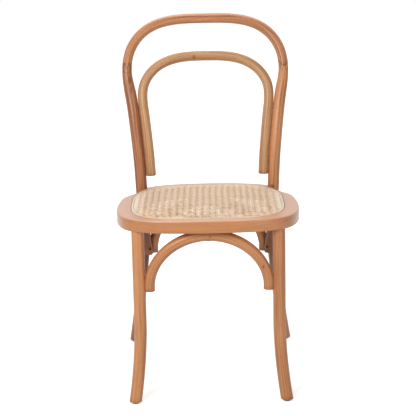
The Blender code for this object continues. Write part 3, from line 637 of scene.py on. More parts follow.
# %% Mix a wood finish
RING_PITCH, PITH = 0.0042, (0.034, 0.021)
WAVER, FIBRES, HAIRS = (26.0, 3.2, 2.0), (750.0, 9.0, 4.0, 0.6), (2600.0, 45.0, 2.0)
PATCHES, STREAKS, RAYS = (55.0, 7.0, 2.0), (230.0, 3.0, 3.0, 0.65), (1500.0, 210.0, 1.0)
GLUE_AND_GROOVE_SHADE, RING_TOP_SHEEN = (0.09, 0.035, 0.018), (0.66, 0.44, 0.35)


def wood_finish(name, light, dark, figure, sheen=0.10, seam=False, marks_and_shade=(), joints=False):
    """Return a solid wood material for pieces that hold the attributes grain and shade."""
    wood = Finish(name)
    waver, fibres, hairs, patches, streaks, rays = (
        wood.noise(*cells) for cells in (WAVER, FIBRES, HAIRS, PATCHES, STREAKS, RAYS))
    x, y = wood.axes(wood.stored("grain", "Vector"), 0, 1)
    from_pith = ((x - PITH[0]) ** 2.0 + (y - PITH[1]) ** 2.0) ** 0.5
    rings = ((from_pith / RING_PITCH + waver * 5.0) * math.tau).sine() * 0.5 + 0.5
    rays = wood.ramp(rays, (0.60, 0.0), (0.70, 1.0))
    bands = rings * 0.3 + streaks * 2.4 - 1.35
    depth = bands * figure + fibres * 0.9 + patches * 0.8 + hairs * 0.4 + wood.stored("shade") - 0.6
    depth = wood.ramp(depth, (0.0, 0.0), (1.0, 1.0))
    colour = wood.blend(depth, light, dark)
    colour = wood.blend(rays * 0.4, colour, toned(dark, 0.62))
    # Each mark darkens the wood round a place: knots, a dark spot, and broad painted shade under
    # the seat.
    for centre, size, strength in marks_and_shade:
        colour = wood.blend(mark(wood, centre, size, fibres) * strength, colour, toned(dark, 0.45))
    for side in (-1, 1) if joints else ():
        colour = wood.blend(joint_line(wood, side) * 0.8, colour, toned(dark, 0.45))
    if seam:
        # The groove's corners are painted dark: a glue line, with painted shade of the groove on
        # it.
        glue_and_shade, (height,) = wood.stored("seam"), wood.axes(wood.here(), 2)
        colour = wood.blend(glue_and_shade, colour, GLUE_AND_GROOVE_SHADE)
        # The ring's top is painted lighter and pinker: a painted sheen.
        top = wood.ramp((height - SEAT_HEIGHT) / 0.004 + 1.0, (0.3, 0.0), (0.9, 1.0))
        colour = wood.blend(top * 0.35 * (1.0 - glue_and_shade), colour, RING_TOP_SHEEN)
    height = fibres * 0.6 + hairs * 0.4 - rays * 0.3
    wood.set(
        Base_Color=colour, Roughness=0.33 + fibres * 0.14, Normal=wood.bump(height, 0.0004, 0.35),
        Coat_Weight=sheen, Coat_Roughness=0.30, Specular_IOR_Level=0.2 + 0.7 * sheen)
    return wood.material


# %% [markdown]
# The marks follow the photograph: a knotty streak below the left joint, a dark spot where the
# right post meets the seat, a knot in the inner bow near its crown and two in the front arch.
# The broad ones are painted shade: they darken the posts and the side arches under the seat,
# where the seat's shadow falls. The six noises of the finish are given as cells to the metre
# across and along the grain, detail and roughness.

# %% The woods of this chair
POST_MARKS_AND_SHADE = (
    ((-0.1955, 0.1590, 0.7320), (0.0055, 0.012, 0.016), 0.75),
    ((-0.1925, 0.1500, 0.7080), (0.0035, 0.012, 0.020), 0.6),
    ((0.1681, 0.1011, 0.4590), (0.0080, 0.010, 0.007), 0.8),
    # The last two are painted shade: the posts lie in the seat's shadow here.
    ((-0.1740, 0.1280, 0.3100), (0.060, 0.090, 0.160), 0.85),
    ((0.1740, 0.1280, 0.3100), (0.060, 0.090, 0.160), 0.7))
ARCH_MARKS_AND_SHADE = (
    ((0.0038, -0.2195, 0.4139), (0.0030, 0.006, 0.0035), 0.85),
    ((0.1288, -0.2137, 0.3371), (0.0035, 0.006, 0.0060), 0.7),
    # The last two are painted shade on the side arches, under the seat.
    ((-0.1660, 0.0950, 0.3350), (0.018, 0.060, 0.110), 0.8),
    ((0.1660, 0.0950, 0.3350), (0.018, 0.060, 0.110), 0.6))
BOW_MARKS = (((-0.0283, 0.1801, 0.7869), (0.0065, 0.010, 0.0090), 0.55),)
STAINED = wood_finish(
    "warm stained beech with painted shade under the seat", (0.55, 0.240, 0.100), (0.23, 0.070, 0.024), 1.1, 0.15,
    marks_and_shade=POST_MARKS_AND_SHADE, joints=True)
STAINED_EVEN = wood_finish(
    "even stained beech with painted shade under the seat", (0.57, 0.255, 0.105), (0.28, 0.095, 0.033), 0.7, 0.12, marks_and_shade=ARCH_MARKS_AND_SHADE)
STAINED_RING = wood_finish(
    "stained beech with the cane's seam", (0.50, 0.190, 0.042), (0.32, 0.100, 0.020), 0.35, 0.55,
    seam=True)
PALE = wood_finish(
    "paler beech of the inner bow", (0.56, 0.305, 0.145), (0.27, 0.118, 0.045), 0.9, 0.12,
    marks_and_shade=BOW_MARKS)
# The wood in the holes is painted almost black: painted shade of the recesses.
BORED_IN_SHADE = wood_finish("bored wood in the holes, in painted shade", (0.16, 0.060, 0.028), (0.06, 0.020, 0.010), 0.6)
print("wood finishes:", [wood.name for wood in (STAINED, STAINED_EVEN, STAINED_RING, PALE, BORED_IN_SHADE)])

# %% [markdown]
# ## Screws and bolts
#
# Countersunk screws hold the inner bow and the arches, each sunk a few millimetres below the
# surface, and two bolts hold the posts to the ring. One profile, spun about its axis, makes
# the screw, and another the hole that it needs. The driver's slot is cut while the screw still
# stands at the seat's middle, and only then is the screw moved to its place.

# %% Sizes and places of the fasteners
SCREW = {"head": 0.0036, "countersink": 0.0026, "shank": 0.0018, "recess": 0.004}
BOLT = {"head": 0.0055, "countersink": 0.004, "shank": 0.003, "recess": 0.003}
SCREW_BITE, BOLT_BITE, BOLT_RISE, ARCH_SCREW_RISE = 0.011, 0.024, 0.012, 0.018
BOW_SCREW_HEIGHTS, CROWN_LEAN = (("lower", 0.5215), ("upper", 0.6635)), math.radians(30)
SLOT, SOCKET_RADIUS, SOCKET_DEPTH = (0.0042, 0.0008, 0.0032), 0.0028, 0.0025


def fastener_list():
    """Return each fastener as name, side, entry, direction, length, kind and pieces it holds."""
    found, sunk, bow = [], SCREW["recess"], 2 * INNER_BOW_RADIUS
    for name, side in SIDES:
        post, leg, arch = (f"{piece}_{name}" for piece in ("rear_post", "front_leg", "side_arch"))
        for level, height in BOW_SCREW_HEIGHTS:
            outward = post_frame(height)[1]
            entry = post_point(height) - outward * (post_radius(height) + GAP + bow - sunk)
            found.append((
                f"bow_screw_{name}_{level}", side, entry, outward, bow - sunk + GAP + SCREW_BITE,
                SCREW, ("inner_bow", post)))
        outward = np.array((math.cos(HOUSING_TURN), math.sin(HOUSING_TURN), 0.0))
        entry = post_point(RING_UNDERSIDE + BOLT_RISE) + outward * (POST_RADIUS - BOLT["recess"])
        length = 2 * POST_RADIUS - BOLT["recess"] - HOUSING_DEPTH + BOLT_BITE
        found.append((
            f"post_bolt_{name}", side, entry, -outward, length, BOLT, (post, "seat_ring")))
        for screw, foot, leg_point, held in (
                ("front_arch_screw", FRONT_FOOT, front_leg_point, ("front_arch", leg)),
                ("rear_arch_screw", REAR_FOOT, post_point, ("rear_arch", post)),
                ("side_arch_front_screw", SIDE_FRONT_FOOT, front_leg_point, (arch, leg)),
                ("side_arch_rear_screw", SIDE_REAR_FOOT, post_point, (arch, post))):
            aim = unit((leg_point(ARCH_SPRING_HEIGHT) - foot) * (1, 1, 0))
            middle = np.array((foot[0], foot[1], ARCH_END_HEIGHT + ARCH_SCREW_RISE))
            entry = middle - aim * (ARCH_END_RADIUS - sunk)
            length = 2 * ARCH_END_RADIUS - sunk - ARCH_COPE_DEPTH + SCREW_BITE
            found.append((f"{screw}_{name}", side, entry, aim, length, SCREW, held))
        found.append(crown_screw(f"side_arch_crown_screw_{name}", side, SIDE_CROWN, 0.0, arch))
    found.append(crown_screw("front_arch_crown_screw", 1, FRONT_CROWN, CROWN_LEAN, "front_arch"))
    found.append(crown_screw("rear_arch_crown_screw", 1, REAR_CROWN, 0.0, "rear_arch"))
    return found


def crown_screw(name, side, crown, tilt, arch):
    direction = np.array((0.0, math.sin(tilt), math.cos(tilt)))
    entry = crown - direction * (ARCH_CROWN_RADIUS - SCREW["recess"])
    length = (RING_UNDERSIDE - entry[2]) / direction[2] + SCREW_BITE
    return name, side, entry, direction, length, SCREW, (arch, "seat_ring")


FASTENERS = fastener_list()
print(len(FASTENERS), "fasteners")

# %% Spin a profile
def spun(profile, steps):
    """Turn a profile of (radius, height) pairs about the Z axis into a closed shape."""
    shape = bmesh.new()
    corners = [shape.verts.new((radius, 0.0, height)) for radius, height in profile]
    edges = [shape.edges.new(pair) for pair in zip(corners, corners[1:])]
    bmesh.ops.spin(
        shape, geom=corners + edges, cent=(0, 0, 0), axis=(0, 0, 1), dvec=(0, 0, 0),
        angle=math.tau, steps=steps, use_merge=True)
    bmesh.ops.remove_doubles(shape, verts=shape.verts, dist=1e-6)
    bmesh.ops.recalc_face_normals(shape, faces=shape.faces)
    return shape


def peg(radius, bottom, top, centre=(0.0, 0.0), segments=40):
    shape = bmesh.new()
    place = Matrix.Translation((centre[0], centre[1], (bottom + top) / 2))
    bmesh.ops.create_cone(
        shape, cap_ends=True, segments=segments, radius1=radius, radius2=radius,
        depth=top - bottom, matrix=place)
    return shape


def fastener_matrix(side, entry, direction):
    """Return the matrix that sets a fastener's own -Z axis along its direction."""
    turn = Vector(mirrored(direction, side)).to_track_quat("-Z", "Y").to_matrix().to_4x4()
    return Matrix.Translation(mirrored(entry, side)) @ turn


def screw_shape(length, kind):
    """Return a countersunk screw with its head's top at the origin, pointing down."""
    head, shank, sink = kind["head"], kind["shank"], kind["countersink"]
    rim = head / 18
    return spun((
        (0.0, 0.0), (head - rim, 0.0), (head, -rim), (head, -2 * rim), (shank, -sink),
        (shank, -length + 2 * shank), (0.0, -length)), 24)


def hole_shape(length, kind):
    head, shank, sink = kind["head"] + GAP, kind["shank"] + GAP, kind["countersink"]
    top = kind["recess"] + OVERRUN
    return spun((
        (0.0, top), (head, top), (head, -GAP), (shank, -sink - GAP), (shank, -length - GAP),
        (0.0, -length - GAP)), 28)


def slot_cutters(kind):
    """Return the driver's slot: a cross of two for a screw, a six-sided socket for a bolt."""
    if kind is BOLT:
        socket = peg(SOCKET_RADIUS, -SOCKET_DEPTH, SOCKET_DEPTH, segments=6)
        return [into_object("slot", socket)]
    cross = []
    for size in (SLOT, (SLOT[1], SLOT[0], SLOT[2])):
        shape = bmesh.new()
        bmesh.ops.create_cube(shape, size=1.0, matrix=Matrix.Diagonal((*size, 1.0)))
        cross.append(into_object("slot", shape))
    return cross


# %% [markdown]
# ## Steel and plastic
#
# The screws are blackened steel. It is dark and a little uneven where the blackening has
# rubbed off. The glides are moulded plastic, a little scuffed.

# %% Mix the finishes of the small pieces
def scuffed_finish(name, cells, detail, rubbed, colours, roughness, depth, metallic=0.0):
    finish = Finish(name)
    worn = finish.noise(*cells, detail, place=finish.here())
    bare = finish.ramp(worn, (rubbed[0], 0.0), (rubbed[1], 1.0))
    finish.set(
        Base_Color=finish.blend(bare, *colours), Metallic=metallic,
        Roughness=roughness[0] + worn * roughness[1], Normal=finish.bump(worn, depth, 0.3))
    return finish.material


STEEL = scuffed_finish(
    "blackened steel", (900.0, 900.0), 4.0, (0.45, 0.75),
    ((0.07, 0.062, 0.055), (0.20, 0.185, 0.165)), (0.30, 0.3), 0.0001, 0.9)
GLIDE_PLASTIC = scuffed_finish(
    "black moulded plastic", (1400.0, 300.0), 5.0, (0.50, 0.72),
    ((0.030, 0.027, 0.025), (0.115, 0.105, 0.095)), (0.42, 0.25), 0.0002)
print("finishes of the small pieces:", STEEL.name, "and", GLIDE_PLASTIC.name)

# %% Drive the screws and note their holes
HOLES = {}


def drive_fasteners():
    """Make every screw and bolt, and gather the holes of each piece in one shape."""
    slots = {"bolt": slot_cutters(BOLT), "screw": slot_cutters(SCREW)}
    for name, side, entry, direction, length, kind, targets in FASTENERS:
        piece = into_object(name, screw_shape(length, kind))
        carve(piece, slots["bolt" if kind is BOLT else "screw"])
        place = fastener_matrix(side, entry, direction)
        piece.data.transform(Matrix.Translation(SHIFT) @ place @ Matrix.Translation(-SHIFT))
        shade(piece)
        dress(piece, name, STEEL)
        hole = hole_shape(length, kind)
        bmesh.ops.transform(hole, matrix=place, verts=hole.verts)
        hole = bored(into_object(name + "_hole", hole))
        for target in targets:
            HOLES.setdefault(target, []).append(hole)
    discard(slots["bolt"] + slots["screw"])


drive_fasteners()
print("holes per piece:", {name: len(holes) for name, holes in sorted(HOLES.items())})

# %% [markdown]
# ## Bars that other pieces are fitted to
#
# The legs and posts shape their neighbours: the arches are coped onto them, and the ring is
# notched for the posts. Each cutter is the leg's own bar, made a little thicker, so the joint
# has the same thin gap all round.

# %% Legs and posts as bars, and as cutters
FRONT_FACING, SIDE_FACING, UP_FACING = (0.0, 1.0, 0.0), (1.0, 0.0, 0.0), (0.0, 0.0, 1.0)


def leg_line(row, side):
    """Return the centre line and the radii of a front leg or a rear post."""
    if row == "front":
        heights = np.linspace(-OVERRUN, RING_UNDERSIDE - GAP, 200)
        line = evenly(np.array([mirrored(front_leg_point(height), side) for height in heights]))
        return line, np.full(len(line), LEG_RADIUS)
    below = HALF_BACK[HALF_BACK[:, 2] < JOINT_HEIGHT + FINGER_LENGTH + OVERRUN / 2]
    line = evenly(below) * (side, 1, 1)
    return line, np.array([post_radius(point[2]) for point in line])


def leg_cutters():
    cutters = {}
    for row in ("front", "rear"):
        for name, side in SIDES:
            line, radii = leg_line(row, side)
            bar = bent_bar(line, radii + GAP, FRONT_FACING, CUTTER_SIDES)
            cutters[row, name] = into_object(f"cope_{row}_{name}", bar)
    return cutters


COPES = leg_cutters()
print(len(COPES), "legs and posts shape their neighbours")

# %% [markdown]
# ## Front legs
#
# Each front leg is a round bar with a tenon, a thinner round end that is glued into a hole in
# the ring. The foot is sawn level and its edge eased, so that it doesn't splinter.

# %% Make the front legs
def footed_bar(node, line, radii):
    """Return a bar whose foot is sawn level and eased."""
    shape = bent_bar(line, radii, FRONT_FACING)
    saw(shape, (0, 0, FOOT_PLANE), (0, 0, -1), FOOT_EASING)
    return into_object(node, shape)


def finish_bar(bar, node, line, facing, start, tone, finish):
    shade(bar)
    note_grain(bar, line, facing, start, tone)
    dress(bar, node, finish)
    return bar


def make_front_leg(name, side):
    node = f"front_leg_{name}"
    line, radii = leg_line("front", side)
    leg = footed_bar(node, line, radii)
    bottom, top = RING_UNDERSIDE - TENON_ROOT, RING_UNDERSIDE + TENON_LENGTH
    centre = mirrored(front_leg_point(RING_UNDERSIDE), side)
    tenon = into_object("tenon", peg(TENON_RADIUS, bottom, top, centre))
    carve(leg, [tenon], "UNION")
    carve(leg, HOLES[node])
    discard([tenon])
    tone = 0.14 * side - 0.16
    return finish_bar(leg, node, line, FRONT_FACING, 0.8 + 0.9 * side, tone, STAINED_EVEN)


LEGS = [make_front_leg(name, side) for name, side in SIDES]
print("front legs:", [len(leg.data.polygons) for leg in LEGS], "faces")

# %% [markdown]
# ## Posts and top bow
#
# No single bar is long enough for the posts and the bow over them, so the bow is spliced on
# with finger joints: pointed fingers of one bar slip between those of the other, which gives
# the glue long side grain to hold. A flat cutter with the fingers' outline parts the bars. It
# is a quarter turn further round on the right, so the front shows a zigzag on the left and a
# straight line on the right.

# %% Part the bars at the finger joints
def finger_outline(grow, end):
    """Return the fingers' outline, closed by a block that runs past the bar."""
    reach, pitch = POST_RADIUS + OVERRUN, 2 * TOP_BOW_RADIUS / FINGER_COUNT
    line = [(-reach, end), (-reach, grow)]
    for number in range(FINGER_COUNT):
        middle = (number - (FINGER_COUNT - 1) / 2) * pitch
        base = pitch / 2 - FINGER_TIP + grow
        line += [
            (middle - base, grow), (middle - FINGER_TIP - grow, FINGER_LENGTH + grow),
            (middle + FINGER_TIP + grow, FINGER_LENGTH + grow), (middle + base, grow)]
    return line + [(reach, grow), (reach, end)]


def finger_cutter(name, outline, side):
    """Extrude a finger outline right through the bar at the joint."""
    depth = POST_RADIUS + OVERRUN
    shape = bmesh.new()
    face = shape.faces.new([shape.verts.new((x, y, -depth)) for x, y in outline])
    made = bmesh.ops.extrude_face_region(shape, geom=[face])["geom"]
    bmesh.ops.translate(shape, verts=is_kind(made, bmesh.types.BMVert), vec=(0, 0, 2 * depth))
    bmesh.ops.recalc_face_normals(shape, faces=shape.faces)
    along, outward = post_frame(JOINT_HEIGHT)
    across, along = Vector(mirrored(outward, side)) * side, Vector(mirrored(along, side))
    through = across.cross(along)
    if side > 0:
        across, through = through, -across
    turn = Matrix((across, along, through)).transposed().to_4x4()
    place = Matrix.Translation(mirrored(post_point(JOINT_HEIGHT), side)) @ turn
    bmesh.ops.transform(shape, matrix=place, verts=shape.verts)
    return into_object(name, shape)


# %% Make the posts and the top bow
def make_back():
    crown = even_points(np.vstack((HALF_BACK * (-1, 1, 1), HALF_BACK[-2::-1])), 2 * FINE_POINTS)
    bow_line = evenly(crown[crown[:, 2] > JOINT_HEIGHT - OVERRUN / 2])
    radii = np.array([post_radius(min(point[2], JOINT_HEIGHT)) for point in bow_line])
    bow = into_object("top_bow", bent_bar(bow_line, radii, FRONT_FACING))
    past = FINGER_LENGTH + 2 * OVERRUN
    for name, side in SIDES:
        node = f"rear_post_{name}"
        line, radii = leg_line("rear", side)
        post = footed_bar(node, line, radii)
        above = finger_cutter("above", finger_outline(0.0, past), side)
        below = finger_cutter("below", finger_outline(BOW_GAP, -past), side)
        carve(post, [above])
        carve(post, HOLES[node])
        carve(bow, [below])
        discard([above, below])
        finish_bar(post, node, line, FRONT_FACING, 3.0 + side, -0.10 - 0.25 * side, STAINED)
    return finish_bar(bow, "top_bow", bow_line, FRONT_FACING, 6.0, -0.10, STAINED)


TOP_BOW = make_back()
print("top bow:", len(TOP_BOW.data.polygons), "faces")

# %% [markdown]
# ## Inner bow
#
# The inner bow is a shorter bar of paler wood. It lies against the posts and has two screws on
# each side, sunk into its inner face. Its ends are cut square and eased.

# %% Make the inner bow
def make_inner_bow():
    line = evenly(inner_bow_line())
    shape = bent_bar(line, np.full(len(line), INNER_BOW_RADIUS), FRONT_FACING)
    ease_ends(shape)
    bow = into_object("inner_bow", shape)
    carve(bow, HOLES["inner_bow"])
    return finish_bar(bow, "inner_bow", line, FRONT_FACING, 9.0, -0.08, PALE)


INNER_BOW = make_inner_bow()
print("inner bow:", len(INNER_BOW.data.polygons), "faces")

# %% [markdown]
# ## Arches under the seat
#
# The arches are bars too. Their crowns are planed flat for the ring, and their feet are coped
# onto the legs.

# %% Make the arches
def make_arch(name, start, end, crown, copes, facing, grain_start, tone):
    line = evenly(arch_line(start, end, crown))
    shape = bent_bar(line, arch_radii(line), facing)
    ease_ends(shape)
    saw(shape, (0, 0, RING_UNDERSIDE - GAP), (0, 0, 1))
    arch = into_object(name, shape)
    carve(arch, copes)
    carve(arch, HOLES[name])
    return finish_bar(arch, name, line, facing, grain_start, tone, STAINED_EVEN)


def make_arches():
    arches = []
    for name, foot, crown, row, start in (
            ("front_arch", FRONT_FOOT, FRONT_CROWN, "front", 12.0),
            ("rear_arch", REAR_FOOT, REAR_CROWN, "rear", 14.0)):
        copes = [COPES[row, side_name] for side_name, _ in SIDES]
        arches.append(make_arch(
            name, mirrored(foot, -1), foot, crown, copes, FRONT_FACING, start, -0.12))
    for name, side in SIDES:
        near, far, crown = (
            mirrored(p, side) for p in (SIDE_FRONT_FOOT, SIDE_REAR_FOOT, SIDE_CROWN))
        copes = [COPES["front", name], COPES["rear", name]]
        # The side arches' dark tone, 0.55, is painted shade: they lie under the seat, in its
        # shadow.
        arches.append(make_arch(
            f"side_arch_{name}", near, far, crown, copes, SIDE_FACING, 17.0 + side, 0.55))
    return arches


ARCHES = make_arches()
print("arches:", [len(arch.data.polygons) for arch in ARCHES], "faces")

# %% [markdown]
# ## Seat ring
#
# The ring is one wide board, bent or glued into a loop, with rounded edges. Its top has a
# groove for the cane and, inside the groove, a slightly lower lip on which the cane lies. It is
# lofted: closed outlines are laid one after the other round its section, outer wall, top,
# groove, lip, inner wall and underside, and neighbours are bridged. A thin brown line of glue
# always collects in the groove, and the groove lies in shade, so the corners of the groove are
# marked for the finish, which paints them dark: the glue line with painted shade on it. The
# finish also paints the ring's top lighter, a painted sheen.

# %% Outlines of the ring and of the cane
LOOP_POINTS = 288
RING_REAR_SHARES = ((0.0, 0.997), (0.339, 0.973), (0.578, 0.903), (0.687, 0.836))
RING_SIDE_SHARES = (
    (0.786, 0.607), (0.831, 0.488), (0.889, 0.386), (0.946, 0.284), (0.975, 0.149),
    (0.996, -0.075), (1.0, -0.299), (0.986, -0.483), (0.944, -0.652), (0.858, -0.811),
    (0.677, -0.925), (0.397, -0.985), (0.0, -1.0))


def ring_line():
    """Return the ring's outer outline, anticlockwise from its rear middle."""
    half = np.array((RING_WIDTH / 2, RING_DEPTH / 2))
    outward = np.array((math.cos(HOUSING_TURN), math.sin(HOUSING_TURN)))
    corner = np.array((POST_SEAT_X, POST_SEAT_Y)) - outward * (POST_RADIUS - HOUSING_DEPTH)
    rear, beside = (np.array(shares) * half for shares in (RING_REAR_SHARES, RING_SIDE_SHARES))
    right = np.vstack((rear, corner, beside))
    loop = np.vstack(((right * (-1, 1))[:-1], right[:0:-1]))
    wrapped = np.vstack((loop, loop, loop, loop[:1]))
    runs = run_lengths(wrapped)
    places = np.linspace(runs[len(loop)], runs[2 * len(loop)], FINE_POINTS, endpoint=False)
    return even_loop(spline(runs, wrapped)(places), LOOP_POINTS)


def cane_line(inset):
    """Return the cane's rounded outline, drawn in by an inset, from its rear middle."""
    angle = np.linspace(math.pi / 2, 2.5 * math.pi, FINE_POINTS, endpoint=False)
    across, along = np.cos(angle), np.sin(angle)
    power = np.where(along > 0, CANE_REAR_POWER, CANE_FRONT_POWER)
    x = (CANE_WIDTH / 2 - inset) * np.sign(across) * np.abs(across) ** (2 / power)
    y = (CANE_DEPTH / 2 - inset) * np.sign(along) * np.abs(along) ** (2 / power)
    return even_loop(np.column_stack((x, y)), LOOP_POINTS)


def drawn_in(loop, inset):
    """Return a closed outline moved inwards by an inset."""
    along = np.roll(loop, -1, axis=0) - np.roll(loop, 1, axis=0)
    inward = np.column_stack((-along[:, 1], along[:, 0])) / np.linalg.norm(along, axis=1)[:, None]
    return loop + inward * inset


# %% Loft closed outlines
def loft(rows):
    """Extrude a closed outline from row to row, and join the last row to the first."""
    shape = bmesh.new()
    made = bmesh.ops.create_circle(shape, segments=len(rows[0][0]), radius=1.0)
    corners, rim = made["verts"], shape.edges[:]
    move_to(corners, rows[0])
    for row in rows[1:] + rows[:1]:
        made = bmesh.ops.extrude_edge_only(shape, edges=rim)["geom"]
        fresh = set(is_kind(made, bmesh.types.BMVert))
        rim = [edge for edge in is_kind(made, bmesh.types.BMEdge) if fresh.issuperset(edge.verts)]
        corners = [next(edge.other_vert(corner) for edge in corner.link_edges
                        if edge.other_vert(corner) in fresh) for corner in corners]
        move_to(corners, row)
    bmesh.ops.remove_doubles(shape, verts=shape.verts, dist=1e-6)
    bmesh.ops.recalc_face_normals(shape, faces=shape.faces)
    return shape


def move_to(corners, row):
    outline, height = row
    for corner, (x, y) in zip(corners, outline):
        corner.co = (x, y, height)


def quarter(radius, count=5):
    """Return the steps (in, up) of a quarter round."""
    angles = np.linspace(0.0, 1.0, count) * math.pi / 2
    return [(radius * (1 - math.cos(a)), radius * math.sin(a)) for a in angles]


# %% Make the seat ring
def make_seat_ring():
    outer, lip_edge = drawn_in(ring_line(), RING_INSET), GROOVE_WIDTH + LIP_WIDTH
    top, bottom, turn, small = SEAT_HEIGHT, RING_UNDERSIDE, 0.003, 0.0009
    edge = quarter(turn)
    rows = [(drawn_in(outer, inset), bottom + turn - lift) for inset, lift in edge[::-1]]
    rows += [(drawn_in(outer, inset), top - turn + lift) for inset, lift in edge]
    rows += [(cane_line(-SEAM_WIDTH), top)]
    rows += [(cane_line(-inset), top - small + lift) for inset, lift in quarter(small, 4)[::-1]]
    rows += [(cane_line(0.0), top - GROOVE_DEPTH), (cane_line(GROOVE_WIDTH), top - GROOVE_DEPTH)]
    rows += [(cane_line(GROOVE_WIDTH), LIP_TOP)]
    rows += [(cane_line(lip_edge - turn + lift), LIP_TOP - inset) for inset, lift in edge]
    rows += [(cane_line(lip_edge), bottom + turn)]
    rows += [(cane_line(lip_edge - inset), bottom + turn - lift) for inset, lift in edge[1:]]
    ring = into_object("seat_ring", loft(rows))
    low, high = RING_UNDERSIDE - OVERRUN, RING_UNDERSIDE + TENON_LENGTH + GAP
    mortises = []
    for _, side in SIDES:
        centre = mirrored(front_leg_point(RING_UNDERSIDE), side)
        mortises.append(into_object("mortise", peg(TENON_RADIUS + GAP, low, high, centre)))
    carve(ring, [COPES["rear", name] for name, _ in SIDES] + mortises + HOLES["seat_ring"])
    discard(mortises)
    return ring


def mark_seam(ring):
    """Store how deep each point lies in the dark line round the cane as the attribute seam."""
    tree = tree_of([(x, y, 0.0) for x, y in cane_line(0.0)])
    values = []
    for x, y, z in vertex_places(ring.data):
        near = max(0.0, 1.0 - tree.find((x, y, 0.0))[2] / SEAM_WIDTH)
        values.append(near if z > SEAT_HEIGHT - GROOVE_DEPTH - GAP else 0.0)
    store(ring.data, "seam", values)


SEAT_RING = make_seat_ring()
mark_seam(SEAT_RING)
shade(SEAT_RING)
middle_line = (ring_line() + cane_line(GROOVE_WIDTH + LIP_WIDTH)) / 2
middle_line = np.column_stack((middle_line, np.full(LOOP_POINTS, SEAT_MIDDLE)))
note_grain(SEAT_RING, middle_line, UP_FACING, 21.0, closed=True)
dress(SEAT_RING, "seat_ring", STAINED_RING)
print("seat ring:", len(SEAT_RING.data.polygons), "faces")

# %% [markdown]
# ## Woven cane
#
# Cane is the glossy skin of rattan, split into flat strands. This web has the usual six-way
# weave: upright strands in pairs, cross strands in pairs, and one slanting strand each way.
# A pair's two strands pass over and under the cross pair in turn. The slanting strands cross
# midway between the places where the pairs cross, one over the uprights and under the cross
# strands, the other the opposite way, and that leaves rows of eight-sided holes. Each family
# of strands is first made straight, one lane per strand, because then its own place in the
# lane can be stored as its grain. Only then is each strand laid along its route.

# %% Lanes of straight strands
CANE_PITCH, STRAND_SIDES, STRAND_STEP = 0.0159, 8, 0.0021
WIDTHS = {"upright": 0.0034, "cross": 0.0046, "slant_right": 0.0037, "slant_left": 0.0037}
THICKNESSES = {"upright": 0.0010, "cross": 0.0013, "slant_right": 0.0010, "slant_left": 0.0010}
PAIR_HALVES = {"upright": 0.0019, "cross": 0.0026}
UPRIGHT_WAVE, CROSS_WAVE, CROSS_TILT, SLANT_WAVE, LIP_PRESS = 0.0008, 0.0002, 0.0003, 0.00115, 0.40
WEB_RISE, WEB_PLAY, WEB_REACH = 0.0005, 0.0004, 0.30
WEB_HEIGHT, WEB_INSET = LIP_TOP + WEB_RISE, STRIP_WIDTH + 2 * GAP + WEB_PLAY


def straight_strands(kind, lengths):
    """Return flat strands that stand upright side by side, a metre apart."""
    shape = bmesh.new()
    flat = Matrix.Diagonal((WIDTHS[kind] / 2, THICKNESSES[kind] / 2, 1.0, 1.0))
    for lane, length in enumerate(lengths):
        place = Matrix.Translation((lane, 0.0, 0.0)) @ flat
        made = bmesh.ops.create_circle(
            shape, cap_ends=True, segments=STRAND_SIDES, radius=1.0, matrix=place)
        bottom = made["verts"][0].link_faces[0]
        made = bmesh.ops.extrude_face_region(shape, geom=[bottom])["geom"]
        top = is_kind(made, bmesh.types.BMVert)
        bmesh.ops.translate(shape, verts=top, vec=(0.0, 0.0, length))
        upright = [edge for corner in top for edge in corner.link_edges
                   if abs(edge.verts[0].co.z - edge.verts[1].co.z) > length / 2]
        cuts = max(3, round(length / STRAND_STEP)) - 1
        bmesh.ops.subdivide_edges(shape, edges=upright, cuts=cuts)
    return shape


def inside_cane(x, y, inset):
    power = np.where(y > 0, CANE_REAR_POWER, CANE_FRONT_POWER)
    across = np.abs(x) / (CANE_WIDTH / 2 - inset)
    along = np.abs(y) / (CANE_DEPTH / 2 - inset)
    return across ** power + along ** power < 1.0


# %% Routes of the woven strands
def crossing_wave(place, crossed):
    """Return the wave of a strand: 1 and -1 where it meets the two strands of a crossed pair."""
    share = (place / CANE_PITCH + 0.5) % 1.0 - 0.5
    pair = PAIR_HALVES[crossed] / CANE_PITCH
    inside = np.sin(math.pi * share / (2 * pair))
    outside = np.sign(share) * np.cos(math.pi * (np.abs(share) - pair) / (1 - 2 * pair))
    return np.where(np.abs(share) <= pair, inside, outside)


def slant_wave(place):
    """Return the wave of a slanting strand, flat on top so that it clears a whole pair."""
    return np.tanh(2.0 * np.cos(math.tau * place / CANE_PITCH)) / math.tanh(2.0)


def family_routes(kind):
    """Return each strand of a family as a start, a unit direction, a length and its sign."""
    found, count = [], int(WEB_REACH / CANE_PITCH) + 1
    if kind in ("upright", "cross"):
        offsets = [(k * CANE_PITCH + sign * PAIR_HALVES[kind], sign)
                   for k in range(-count, count + 1) for sign in (-1, 1)]
        direction = np.array((0.0, 1.0) if kind == "upright" else (1.0, 0.0))
    else:
        lean = 1 if kind == "slant_right" else -1
        offsets = [((k + 0.5) * CANE_PITCH / math.sqrt(2), lean)
                   for k in range(-2 * count, 2 * count)]
        direction = np.array((1.0, lean)) / math.sqrt(2)
    side = np.array((direction[1], -direction[0]))
    places = np.arange(-WEB_REACH, WEB_REACH, GAP)
    for offset, sign in offsets:
        points = side * offset + direction * places[:, None]
        inside = places[inside_cane(points[:, 0], points[:, 1], WEB_INSET)]
        if len(inside) * GAP > 3 * WIDTHS[kind]:
            start = side * offset + direction * inside[0]
            found.append((start, direction, inside[-1] - inside[0], sign))
    return found


